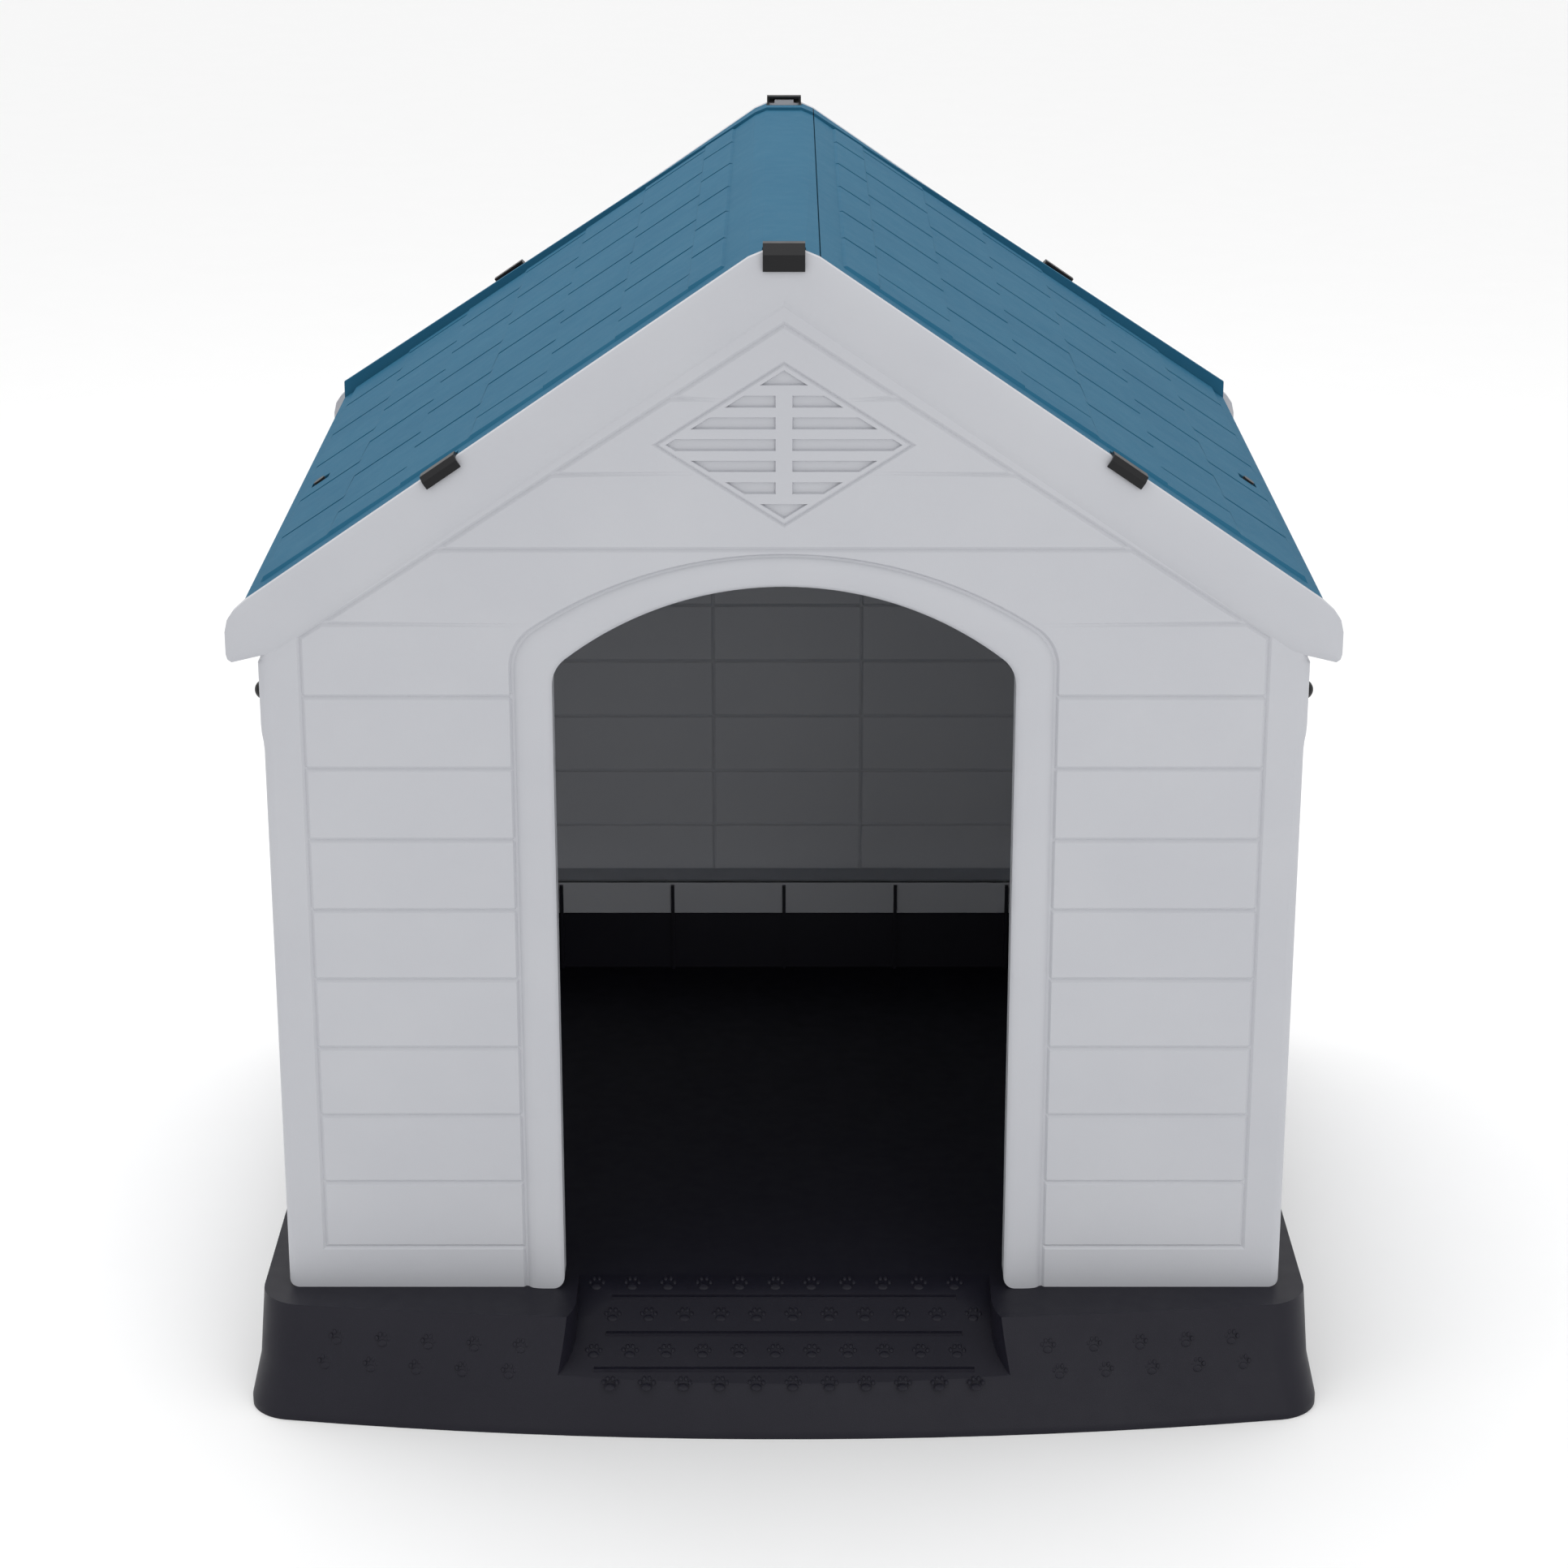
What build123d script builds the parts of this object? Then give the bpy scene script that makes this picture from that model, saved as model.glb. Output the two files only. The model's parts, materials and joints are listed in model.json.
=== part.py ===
from build123d import *
import math
import os

# A knock-down plastic dog house: a dark base tray with a ramp, two gable panels, two side
# panels, two pegged roof halves that lift off as one, and six swinging clips that hold the
# roof's ends to the gable rims. Millimetres. While the pieces are built, y = 0 is the front wall's
# face, +Y runs to the back and z = 0 is the ground. FRAME_SHIFT then centres the depth.

# Overall house
WALL_HALF = 452.0          # half width of the gable walls
BACK_Y = 827.0             # back wall's outer face
MID_Y = BACK_Y / 2
DECK_Z = 102.0             # base deck, on which the walls stand
WALL_TOP = 745.0           # top of the side panels
SKIN = 3.0                 # wall thickness of the panels

# Gable outline: rake, short shoulder and flat apex
EAVE_X = 464.6
KNEE_X, KNEE_Z = 30.0, 1053.0
SHOULDER_X, APEX_Z = 18.0, 1058.0
RAKE_SLOPE = 0.6845
SHOULDER_SLOPE = (APEX_Z - KNEE_Z) / (KNEE_X - SHOULDER_X)
RAKE_ANGLE = math.degrees(math.atan(RAKE_SLOPE))

# Fascia round the gable
FASCIA_WIDTH = 52.0
FASCIA_PROUD = 6.0
FASCIA_END = ((482.5, 736.0), (482.5, 706.0), (478.0, 700.5), (452.0, 710.0))
FASCIA_BACK = 7.6          # how far the rim reaches behind the wall's face
RIM_STEP = 3.0             # step at the rim's outer edge
RIM_WALL = 5.0             # rim thickness, more than the step so that the two overlap
LEDGE_INSET = 12.0         # ledge under the roof's ends
LEDGE_DEPTH = 40.0
FAR = 600.0                # beyond the house on any side, for cutting shapes

# Corner flanges, pads and screws
FLANGE_DEPTH = 60.0
PAD_PROUD = 4.0
PAD_LOW, PAD_HIGH = 640.0, 701.0
SCREW_Y, SCREW_Z = 35.0, 665.0
SCREW_R = 3.0
SCREW_HEAD_R, SCREW_HEAD_T = 9.0, 8.0
NUT_R, NUT_T = 8.0, 8.0

# Door
DOOR_HALF, DOOR_TOP, DOOR_ARC_R = 201.0, 769.0, 308.0
FRAME_HALF, FRAME_TOP, FRAME_ARC_R = 231.0, 792.0, 383.0
DOOR_CORNER_R = 30.0
FRAME_PROUD = 5.0
JAMB_DEPTH = 23.0

# Base
BASE_HALF, BASE_CORNER_Y, BASE_CENTRE_Y, BASE_BACK_Y = 488.0, -60.0, -102.0, 888.0
FOOT_HEIGHT, FLARE_TOP = 8.0, 46.0
FLARE_IN = 0.5             # the flare ends this far inside the body, under its skin
BODY = (483.0, -55.0, -97.0, 883.0)    # half width, front corners, front centre and back, at z = 0
LEDGE = (477.0, -33.0, -68.0, 866.0)   # and the same at the deck
BASE_CORNER_R = 42.0
BASE_WALL = 4.0
DECK_T = 4.0
UNDER_RIB_X, UNDER_RIB_Y, UNDER_RIB_T = (-190, 190), (60, 330, 620), 4.0
KERB_TOP, KERB_T = 166.0, 6.0
KERB_HALF = 445.0
KERB_FRONT_Y, KERB_BACK_Y = 26.5, 790.0
RAMP_TOP_Y, RAMP_SLOPE = 23.0, 0.5217
RAMP_HALF_TOP, RAMP_HALF_LOW = 189.0, 222.0
RAMP_LOW_Y, RAMP_END_Y = -92.0, -150.0
RAMP_STRAIGHT_Y = -30.0    # the ramp's sides are straight down to here, then flare
RAMP_FLARE = (9.0, -66.0)  # a point on the flare: out from the straight side, and its y
RAMP_MOUTH = ((30.0, -115.0), (30.0, -140.0))          # open front end, out from the low edge
RAMP_RIB_HALF_T, RAMP_RIB_PROUD, RAMP_RIB_ROOT = 2.5, 1.6, 3.0
POST_PITCH, POST_WIDTH, POST_TOP = 123.5, 3.5, 200.0
RAMP_RIBS = ((0.20, 158), (0.51, 162), (0.81, 172))    # share of the way down, half width

# Side panels
SIDE_OUT = 448.4           # side panel's outer face
SIDE_FRONT_Y = 8.5
LIP_IN = 425.0
PANEL_LOW_RIB = 186.0      # the side panels' ribs start here, above the kerb

SIDE_LIP_END = 64.0        # where the top lip starts, clear of the gable panels' flanges
SIDE_RIB_DEPTH, RIB_HALF_T = 8.0, 1.5
SIDE_STATIONS = (MID_Y - 170, MID_Y, MID_Y + 170)

# Tongues under the walls, and their slots in the deck
FRONT_TONGUES = (-400, -260, 260, 400)
BACK_TONGUES = (-400, -200, 0, 200, 400)
TONGUE_HALF, TONGUE_DROP = 20.0, 15.0
TONGUE_Y0, TONGUE_Y1 = 10.0, 13.0
SLOT_PLAY, SIDE_PLAY = 0.75, 0.4

# Shelf and ribs inside the back panel
SHELF_HALF, SHELF_LOW, SHELF_TOP = 436.0, 202.0, 205.0
BACK_RIB_X = (-77.6, 85.1)

# Roof
ROOF_FRONT_Y = 8.0
SHEET_T = 3.5
BEAM_INSET, BEAM_WIDTH = 11.7, 28.0
EAVE_FLANGE_LOW = 744.0
SEAM_X = 31.0              # where the left half's cap overlaps the right half
LIP_Y, LIP_T = 771.0, 5.0
LIP_EAVE, LIP_RIDGE = 17.0, 3.0
ROOF_RIB_INSET, ROOF_RIB_PITCH, ROOF_RIB_HALF_T = 11.0, 213.0, 2.0
ROOF_RIB_NEAR, ROOF_RIB_FAR = 42.0, 455.0
TONGUE_NEAR_X, TONGUE_LAP, TONGUE_T, TONGUE_END_Y = 8.0, 6.0, 4.0, 42.0

# Pegs in the roof that drop into holes in the side panels' lips
PEG_X, PEG_Y, PEG_LOW = 436.0, 331.0, 736.0
PEG_R, PEG_HEAD_R, PEG_HEAD_T = 3.0, 6.0, 4.5
PEG_HOLE_R, PEG_PLAY = 3.8, 0.05

# Clips: local u along the rim, v outwards, w upwards, from the pivot
CLIP_X_FRONT, CLIP_X_BACK = 293.0, 288.0
PIVOT_Y, PIVOT_INSET = 14.0, 4.0
CLIP_HALF, CLIP_T = 17.7, 2.5
CLIP_FAR, CLIP_SHOULDER = 23.0, 3.0                    # v and w of the front face's top edge
TALL_CLIP = (-11.0, 11.5, 14.0, 7.5)                   # low end, top, bend in v, keeper boss
SLIM_CLIP = (-4.0, 7.6, 17.5, 4.6)                     # the same for the front's side clips
EYE_R, BORE_R, PIN_R, PIN_HALF = 4.0, 2.06, 2.0, 22.0
BOSS_HALF, BOSS_NEAR, BOSS_FAR, BOSS_ROOT = 10.0, 6.6, 12.0, 1.5
NOTCH_BACK, NOTCH_FRONT, NOTCH_LOW, NOTCH_TOP, NOTCH_PLAY = -8.0, 7.5, -6.0, 12.0, 0.7

FRAME_SHIFT = Pos(0, -(BASE_CENTRE_Y + BASE_BACK_Y) / 2, 0)


def slab(x0, x1, y0, y1, z0, z1):
    """Block between two corners."""
    middle = Pos((x0 + x1) / 2, (y0 + y1) / 2, (z0 + z1) / 2)
    return middle * Box(abs(x1 - x0), abs(y1 - y0), abs(z1 - z0))


def xz_solid(sketch, y0, y1):
    """Outline in the XZ plane, extruded from y0 back to y1."""
    return extrude(Plane.XZ.offset(-y1) * sketch, y1 - y0, dir=(0, -1, 0))


def yz_solid(points, x0, x1):
    """Outline in the YZ plane, extruded from x0 to x1."""
    return extrude(Plane.YZ.offset(x0) * Polygon(*points, align=None), x1 - x0, dir=(1, 0, 0))


def both_sides(solid):
    """The solid and its mirror image in x."""
    return solid + mirror(solid, Plane.YZ)


def to_back(solid):
    """Mirror a front piece to the back of the house."""
    return mirror(solid, Plane.XZ.offset(-MID_Y))


def gable_z(x, inset=0.0):
    """Height of the gable outline at x, moved inwards by inset."""
    x = abs(x)
    rake = KNEE_Z + (KNEE_X - x) * RAKE_SLOPE - inset * math.hypot(1, RAKE_SLOPE)
    shoulder = APEX_Z + (SHOULDER_X - x) * SHOULDER_SLOPE - inset * math.hypot(1, SHOULDER_SLOPE)
    return min(rake, shoulder, APEX_Z - inset)


def gable_bends(inset):
    """The outline's corner places in x, at that inset."""
    drop = inset * (math.hypot(1, RAKE_SLOPE) - math.hypot(1, SHOULDER_SLOPE))
    rise = APEX_Z + SHOULDER_X * SHOULDER_SLOPE - KNEE_Z - KNEE_X * RAKE_SLOPE
    knee = (-rise - drop) / (RAKE_SLOPE - SHOULDER_SLOPE)
    shoulder = SHOULDER_X - inset * (math.hypot(1, SHOULDER_SLOPE) - 1) / SHOULDER_SLOPE
    if knee <= shoulder:
        top = KNEE_Z + KNEE_X * RAKE_SLOPE - APEX_Z - inset * (math.hypot(1, RAKE_SLOPE) - 1)
        bend = top / RAKE_SLOPE
        return [-bend, bend]
    return [-knee, -shoulder, shoulder, knee]


def gable_line(x0, x1, inset=0.0):
    """Points of the gable outline from x0 to x1, moved inwards by inset."""
    bends = [x for x in gable_bends(inset) if x0 < x < x1]
    return [(x, gable_z(x, inset)) for x in (x0, *bends, x1)]


def gable_layer(x0, x1, top, low, y0, y1):
    """Layer under the gable outline between two insets, from y0 to y1."""
    outline = gable_line(x0, x1, top) + gable_line(x0, x1, low)[::-1]
    return xz_solid(Polygon(*outline, align=None), y0, y1)


def arch(half, top, arc_r, low_z):
    """Door outline: upright sides, a rounded corner each side and a flat arc on top."""
    centre_z = top - arc_r
    run = half - DOOR_CORNER_R
    corner_z = centre_z + math.sqrt((arc_r - DOOR_CORNER_R) ** 2 - run ** 2)
    reach = arc_r / (arc_r - DOOR_CORNER_R)
    meet_x, meet_z = run * reach, centre_z + (corner_z - centre_z) * reach
    corner = JernArc((half, corner_z), (0, 1), DOOR_CORNER_R, math.degrees(
        math.atan2(meet_z - corner_z, meet_x - run)))
    right = Line((half, low_z), (half, corner_z)) + corner
    crown = ThreePointArc((meet_x, meet_z), (0, top), (-meet_x, meet_z))
    left = mirror(right, Plane.YZ)
    sill = Line((-half, low_z), (half, low_z))
    return make_face(right + crown + left + sill)


def clip_place(x):
    """Where a front clip's pivot sits on the rim at x, with w at right angles to the rim."""
    lean = 0.0 if x == 0 else math.copysign(RAKE_ANGLE, x)
    angle = math.radians(lean)
    out_x = x - PIVOT_INSET * math.sin(angle)
    out_z = gable_z(x) - PIVOT_INSET * math.cos(angle)
    return Pos(out_x, PIVOT_Y, out_z) * Rot(0, lean, 0)


def clip_sizes(x, back):
    """Sizes of the clip at x on the front or back gable."""
    return SLIM_CLIP if x and not back else TALL_CLIP


def clip_solid(sizes):
    """One clip, closed, pivot at the origin, front of the clip facing -Y."""
    low, top, bend, _ = sizes
    near, reach, under = CLIP_FAR - CLIP_T, EYE_R + 1, top - CLIP_T
    front = [(CLIP_FAR, low), (CLIP_FAR, CLIP_SHOULDER), (bend, top), (reach, top)]
    plate = [*front, (reach, under), (bend - 1.1, under), (near, CLIP_SHOULDER - 1.1), (near, low)]
    cheek = [*front, (4.5, 6), (0, EYE_R), (-EYE_R, 0), (EYE_R, 0), (4.6, 4.6), (16, 4.6), (18.9, 3.9),
             (near, 1.5), (near, low)]
    shape = yz_solid([(-v, w) for v, w in plate], -CLIP_HALF, CLIP_HALF)
    for side in (-CLIP_HALF, CLIP_HALF - CLIP_T):
        shape += yz_solid([(-v, w) for v, w in cheek], side, side + CLIP_T)
        shape += Pos(side + CLIP_T / 2, 0, 0) * Rot(0, 90, 0) * Cylinder(EYE_R, CLIP_T)
    return shape - Rot(0, 90, 0) * Cylinder(BORE_R, 3 * CLIP_HALF)


def clip_pin():
    """Hinge pin of one clip."""
    return Rot(0, 90, 0) * Cylinder(PIN_R, 2 * PIN_HALF)


def clip_notch():
    """Room in the roof's end beam for a clip's eyes, with the pin's bore."""
    half = CLIP_HALF + NOTCH_PLAY
    pocket = slab(-half, half, NOTCH_BACK, NOTCH_FRONT, NOTCH_LOW, NOTCH_TOP)
    return pocket + Rot(0, 90, 0) * Cylinder(PIN_R + 0.05, 2 * PIN_HALF + 1)


def clip_bosses(places, back):
    """Keeper bosses on the gable rim, under the closed clips."""
    return [clip_place(x) * slab(-BOSS_HALF, BOSS_HALF, -BOSS_FAR, -BOSS_NEAR, BOSS_ROOT,
                                 clip_sizes(x, back)[3]) for x in places]


def fascia_outline():
    """Band along both rakes, with overhanging rounded ends."""
    upper = gable_line(-EAVE_X, EAVE_X)
    lower = gable_line(-WALL_HALF, WALL_HALF, FASCIA_WIDTH)[::-1]
    left = [(-x, z) for x, z in FASCIA_END[::-1]]
    return Polygon(*upper, *FASCIA_END, *lower, *left, align=None)


def fascia():
    """Hollow fascia with its rim, the ledge that carries the roof, and no clip bosses."""
    band = fascia_outline()
    wall = band - offset(band, -RIM_WALL)
    below_step = Polygon(*gable_line(-FAR, FAR, RIM_STEP), (FAR, 0), (-FAR, 0), align=None)
    shape = xz_solid(band & below_step, -FASCIA_PROUD, SKIN - FASCIA_PROUD)
    shape += xz_solid(wall & below_step, -FASCIA_PROUD, FASCIA_BACK)
    shape += xz_solid(wall, SKIN - FASCIA_PROUD, FASCIA_BACK)
    ledge_low, ledge_front = LEDGE_INSET + SKIN, FASCIA_BACK - SKIN
    shape += gable_layer(-WALL_HALF, WALL_HALF, 0, ledge_low, ledge_front, FASCIA_BACK)
    shape += gable_layer(-WALL_HALF, WALL_HALF, LEDGE_INSET, ledge_low, ledge_front, LEDGE_DEPTH)
    return shape


def corner_flange():
    """Flange that wraps round the side panel's edge, with its screw pad."""
    flange = slab(WALL_HALF - SKIN, WALL_HALF, 0, FLANGE_DEPTH, DECK_Z, WALL_TOP)
    flange += slab(WALL_HALF, WALL_HALF + PAD_PROUD, 0, FLANGE_DEPTH, PAD_LOW, PAD_HIGH - 2)
    flange -= screw_bore()
    return flange


def screw_bore():
    """Clearance hole of a corner screw, along X."""
    return Pos(WALL_HALF, SCREW_Y, SCREW_Z) * Rot(0, 90, 0) * Cylinder(SCREW_R + 0.25, 60)


def gable_wall():
    """Flat skin and side flanges shared by the front and back panels."""
    outline = gable_line(-WALL_HALF, WALL_HALF, RIM_STEP)
    skin = xz_solid(Polygon(*outline, (WALL_HALF, DECK_Z), (-WALL_HALF, DECK_Z), align=None), 0, SKIN)
    return skin + both_sides(corner_flange())


def foot_tabs(places):
    """Tongues under a gable panel that drop into the base's slots."""
    return [slab(x - TONGUE_HALF, x + TONGUE_HALF, TONGUE_Y0, TONGUE_Y1, DECK_Z - TONGUE_DROP, DECK_Z + SKIN)
            for x in places]


def front_panel():
    """Front gable panel with the arched door and its raised frame."""
    shape = gable_wall() + fascia()
    shape += both_sides(slab(DOOR_HALF, 440, 0, JAMB_DEPTH, DECK_Z, DECK_Z + SKIN))
    opening = arch(DOOR_HALF, DOOR_TOP, DOOR_ARC_R, DECK_Z)
    surround = arch(FRAME_HALF, FRAME_TOP, FRAME_ARC_R, DECK_Z)
    jamb = arch(DOOR_HALF + SKIN, DOOR_TOP + SKIN, DOOR_ARC_R + SKIN, DECK_Z)
    shape += xz_solid(surround, -FRAME_PROUD, SKIN)
    shape += xz_solid(jamb, 0, JAMB_DEPTH)
    shape -= xz_solid(opening, -20, JAMB_DEPTH + 1)
    bosses = clip_bosses((-CLIP_X_FRONT, 0, CLIP_X_FRONT), back=False)
    for piece in foot_tabs(FRONT_TONGUES) + bosses:
        shape += piece
    return shape


def back_panel():
    """Back gable panel with a shelf inside that rests on the base's kerb."""
    shape = gable_wall() + fascia()
    shape += slab(-440, 440, 0, JAMB_DEPTH, DECK_Z, DECK_Z + SKIN)
    shelf_y = BACK_Y - KERB_BACK_Y + KERB_T
    shape += slab(-SHELF_HALF, SHELF_HALF, 0, shelf_y, SHELF_LOW, SHELF_TOP)
    shape += slab(-SHELF_HALF, SHELF_HALF, shelf_y - SKIN, shelf_y, KERB_TOP + 0.5, SHELF_TOP)
    for x in BACK_RIB_X:
        shape += slab(x - RIB_HALF_T, x + RIB_HALF_T, 0, SKIN + 4, SHELF_TOP, gable_z(x, 20))
    bosses = clip_bosses((-CLIP_X_BACK, 0, CLIP_X_BACK), back=True)
    for piece in foot_tabs(BACK_TONGUES) + bosses:
        shape += piece
    return to_back(shape)


def side_panel():
    """Right-hand side panel, with a lip and its peg hole on top and tongues below."""
    inner = SIDE_OUT - SKIN
    shape = slab(inner, SIDE_OUT, SIDE_FRONT_Y, BACK_Y - SIDE_FRONT_Y, DECK_Z, WALL_TOP)
    shape += slab(LIP_IN, SIDE_OUT, SIDE_LIP_END, BACK_Y - SIDE_LIP_END, WALL_TOP - SKIN, WALL_TOP)
    shape -= Pos(PEG_X, PEG_Y, WALL_TOP) * Cylinder(PEG_HOLE_R, 4 * SKIN)
    for y in SIDE_STATIONS:
        low_y, high_y = y - RIB_HALF_T, y + RIB_HALF_T
        shape += slab(inner - SIDE_RIB_DEPTH, SIDE_OUT, low_y, high_y, PANEL_LOW_RIB, WALL_TOP)
        shape += slab(inner, SIDE_OUT, y - TONGUE_HALF, y + TONGUE_HALF, DECK_Z - TONGUE_DROP, DECK_Z)
    return shape - screw_bore() - to_back(screw_bore())


def base_outline(half, corner_y, centre_y, back_y, radius):
    """Plan of the base at one level: bowed front, straight sides and back, round corners."""
    front = ThreePointArc((-half, corner_y), (0, centre_y), (half, corner_y))
    rest = Polyline((half, corner_y), (half, back_y), (-half, back_y), (-half, corner_y))
    face = make_face(front + rest)
    return fillet(face.vertices(), radius)


def body_outline(z, shrink):
    """Plan of the tapering body at height z, moved inwards by shrink."""
    half, corner_y, centre_y, back_y = [low + (top - low) * z / DECK_Z for low, top in zip(BODY, LEDGE)]
    return base_outline(half - shrink, corner_y + shrink, centre_y + shrink, back_y - shrink,
                        BASE_CORNER_R - shrink)


def base_block(shrink, low_z, top_z):
    """The base's tapering body, moved inwards by shrink."""
    low, top = body_outline(0, shrink), body_outline(DECK_Z, shrink)
    return loft([Pos(0, 0, low_z) * low, Pos(0, 0, top_z) * top])


def ramp_space(grow, drop):
    """Space above the ramp, widened by grow and lowered by drop."""
    top, low = RAMP_HALF_TOP + grow, RAMP_HALF_LOW + grow
    edge = Line((top, RAMP_TOP_Y), (top, RAMP_STRAIGHT_Y))
    bulge = (top + RAMP_FLARE[0], RAMP_FLARE[1])
    flare = ThreePointArc((top, RAMP_STRAIGHT_Y), bulge, (low, RAMP_LOW_Y))
    mouth = [(low + out, y) for out, y in RAMP_MOUTH]
    half = edge + flare + Polyline((low, RAMP_LOW_Y), *mouth)
    close_front = Line(mouth[-1], (-mouth[-1][0], mouth[-1][1]))
    close_back = Line((-top, RAMP_TOP_Y), (top, RAMP_TOP_Y))
    outline = make_face(half + close_front + mirror(half, Plane.YZ) + close_back)
    plan = extrude(outline, FAR, dir=(0, 0, 1))
    end_z = DECK_Z - RAMP_SLOPE * (RAMP_TOP_Y - RAMP_END_Y)
    wedge = [(RAMP_TOP_Y, DECK_Z - drop), (RAMP_TOP_Y, FAR), (RAMP_END_Y, FAR),
             (RAMP_END_Y, end_z - drop)]
    return plan & yz_solid(wedge, -FAR, FAR)


def ramp_ribs():
    """Three raised grip ribs across the ramp."""
    ribs = []
    for share, half in RAMP_RIBS:
        y = RAMP_TOP_Y - share * (RAMP_TOP_Y - RAMP_LOW_Y)
        z = DECK_Z - RAMP_SLOPE * (RAMP_TOP_Y - y)
        ribs.append(slab(-half, half, y - RAMP_RIB_HALF_T, y + RAMP_RIB_HALF_T,
                         z - RAMP_RIB_ROOT, z + RAMP_RIB_PROUD))
    return ribs


def kerb():
    """Upstand inside the walls, open at the door, with short posts along the back."""
    ring = slab(-KERB_HALF, KERB_HALF, KERB_FRONT_Y, KERB_BACK_Y, DECK_Z - 1, KERB_TOP)
    ring -= slab(-KERB_HALF + KERB_T, KERB_HALF - KERB_T, KERB_FRONT_Y + KERB_T, KERB_BACK_Y - KERB_T,
                 DECK_Z - 2, KERB_TOP + 1)
    ring -= slab(-DOOR_HALF - 8, DOOR_HALF + 8, 0, KERB_FRONT_Y + KERB_T, DECK_Z - 2, KERB_TOP + 1)
    inner_y = KERB_BACK_Y - KERB_T
    for step in range(-3, 4):
        x = step * POST_PITCH
        ring += slab(x - POST_WIDTH / 2, x + POST_WIDTH / 2, inner_y - 5, inner_y, DECK_Z - 1, POST_TOP)
    return ring


def base_slots():
    """Slots in the deck for the tongues of all four walls."""
    slots = []
    reach = TONGUE_HALF + SLOT_PLAY
    low, high = DECK_Z - TONGUE_DROP - 7, DECK_Z + 8
    for places, turn in ((FRONT_TONGUES, None), (BACK_TONGUES, to_back)):
        for x in places:
            slot = slab(x - reach, x + reach, TONGUE_Y0 - SLOT_PLAY, TONGUE_Y1 + SLOT_PLAY, low, high)
            slots.append(turn(slot) if turn else slot)
    for side in (-1, 1):
        for y in SIDE_STATIONS:
            inner, outer = side * (SIDE_OUT - SKIN - SIDE_PLAY), side * (SIDE_OUT + SLOT_PLAY)
            slots.append(slab(inner, outer, y - reach, y + reach, low, high))
    return slots


def base_tray():
    """Base with foot, deck, ramp, kerb and ribbed underside."""
    foot_plan = base_outline(BASE_HALF, BASE_CORNER_Y, BASE_CENTRE_Y, BASE_BACK_Y, BASE_CORNER_R)
    foot = extrude(foot_plan, FOOT_HEIGHT, dir=(0, 0, 1))
    flare_end = Pos(0, 0, FLARE_TOP) * body_outline(FLARE_TOP, FLARE_IN)
    flare = loft([Pos(0, 0, FOOT_HEIGHT) * foot_plan, flare_end])
    outside = foot + flare + base_block(0, 0, DECK_Z) - ramp_space(0, 0)
    hollow = base_block(BASE_WALL, -1, DECK_Z - DECK_T) - ramp_space(BASE_WALL, BASE_WALL)
    shape = outside - hollow
    inside = base_block(BASE_WALL / 2, 0, DECK_Z - DECK_T / 2) - ramp_space(1, 1)
    for x in UNDER_RIB_X:
        shape += inside & slab(x - UNDER_RIB_T / 2, x + UNDER_RIB_T / 2, -FAR, 2 * FAR, 0, DECK_Z)
    for y in UNDER_RIB_Y:
        shape += inside & slab(-FAR, FAR, y - UNDER_RIB_T / 2, y + UNDER_RIB_T / 2, 0, DECK_Z)
    shape += kerb()
    for rib in ramp_ribs():
        shape += rib
    for slot in base_slots():
        shape -= slot
    return shape


def roof_peg():
    """Right-hand peg: a head flat on the roof and a straight shank down through it."""
    seat_z = gable_z(PEG_X)
    head = Pos(0, 0, seat_z) * Rot(0, RAKE_ANGLE, 0) * Pos(0, 0, PEG_HEAD_T / 2)
    head *= Cylinder(PEG_HEAD_R, PEG_HEAD_T)
    shank = Pos(0, 0, (PEG_LOW + seat_z) / 2) * Cylinder(PEG_R, seat_z - PEG_LOW + 2)
    return Pos(PEG_X, 0, 0) * (head + shank)


def peg_bore(side):
    """Bore through the roof for the peg on that side."""
    return Pos(side * PEG_X, PEG_Y, gable_z(PEG_X)) * Cylinder(PEG_R + PEG_PLAY, 8 * SHEET_T)


def roof_ends(x0, x1):
    """Beams under both ends of a roof half."""
    front = gable_layer(x0, x1, SHEET_T - 1, BEAM_INSET, ROOF_FRONT_Y, ROOF_FRONT_Y + BEAM_WIDTH)
    return front + to_back(front)


def roof_lip(x0, x1):
    """Upstand across the roof's back end, tallest at the eaves."""
    def top(x):
        share = min(max((abs(x) - KNEE_X) / (EAVE_X - KNEE_X), 0), 1)
        return gable_z(x) + LIP_RIDGE + share * (LIP_EAVE - LIP_RIDGE)
    bends = [x for x in gable_bends(0) if x0 < x < x1]
    upper = [(x, top(x)) for x in (x0, *bends, x1)]
    return xz_solid(Polygon(*upper, *gable_line(x0, x1, 1)[::-1], align=None), LIP_Y, LIP_Y + LIP_T)


def roof_common(x0, x1):
    """Sheet, beams, ribs, eave flange, back lip and peg bore of one roof half."""
    side = 1 if x1 > EAVE_X - 1 else -1
    shape = gable_layer(x0, x1, 0, SHEET_T, ROOF_FRONT_Y, BACK_Y - ROOF_FRONT_Y)
    shape += roof_ends(x0, x1)
    shape += roof_lip(x0, x1)
    for y in (MID_Y - ROOF_RIB_PITCH, MID_Y, MID_Y + ROOF_RIB_PITCH):
        rib = sorted((side * ROOF_RIB_NEAR, side * ROOF_RIB_FAR))
        shape += gable_layer(*rib, SHEET_T - 1, ROOF_RIB_INSET, y - ROOF_RIB_HALF_T,
                             y + ROOF_RIB_HALF_T)
    shape += slab(side * (EAVE_X - SHEET_T), side * EAVE_X, ROOF_FRONT_Y, BACK_Y - ROOF_FRONT_Y,
                  EAVE_FLANGE_LOW, gable_z(EAVE_X, 1))
    return shape - peg_bore(side)


def clip_notches(shape, places, back):
    """Cut the clip notches for these places out of a roof half."""
    for x in places:
        notch = clip_place(x) * clip_notch()
        shape -= to_back(notch) if back else notch
    return shape


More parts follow.
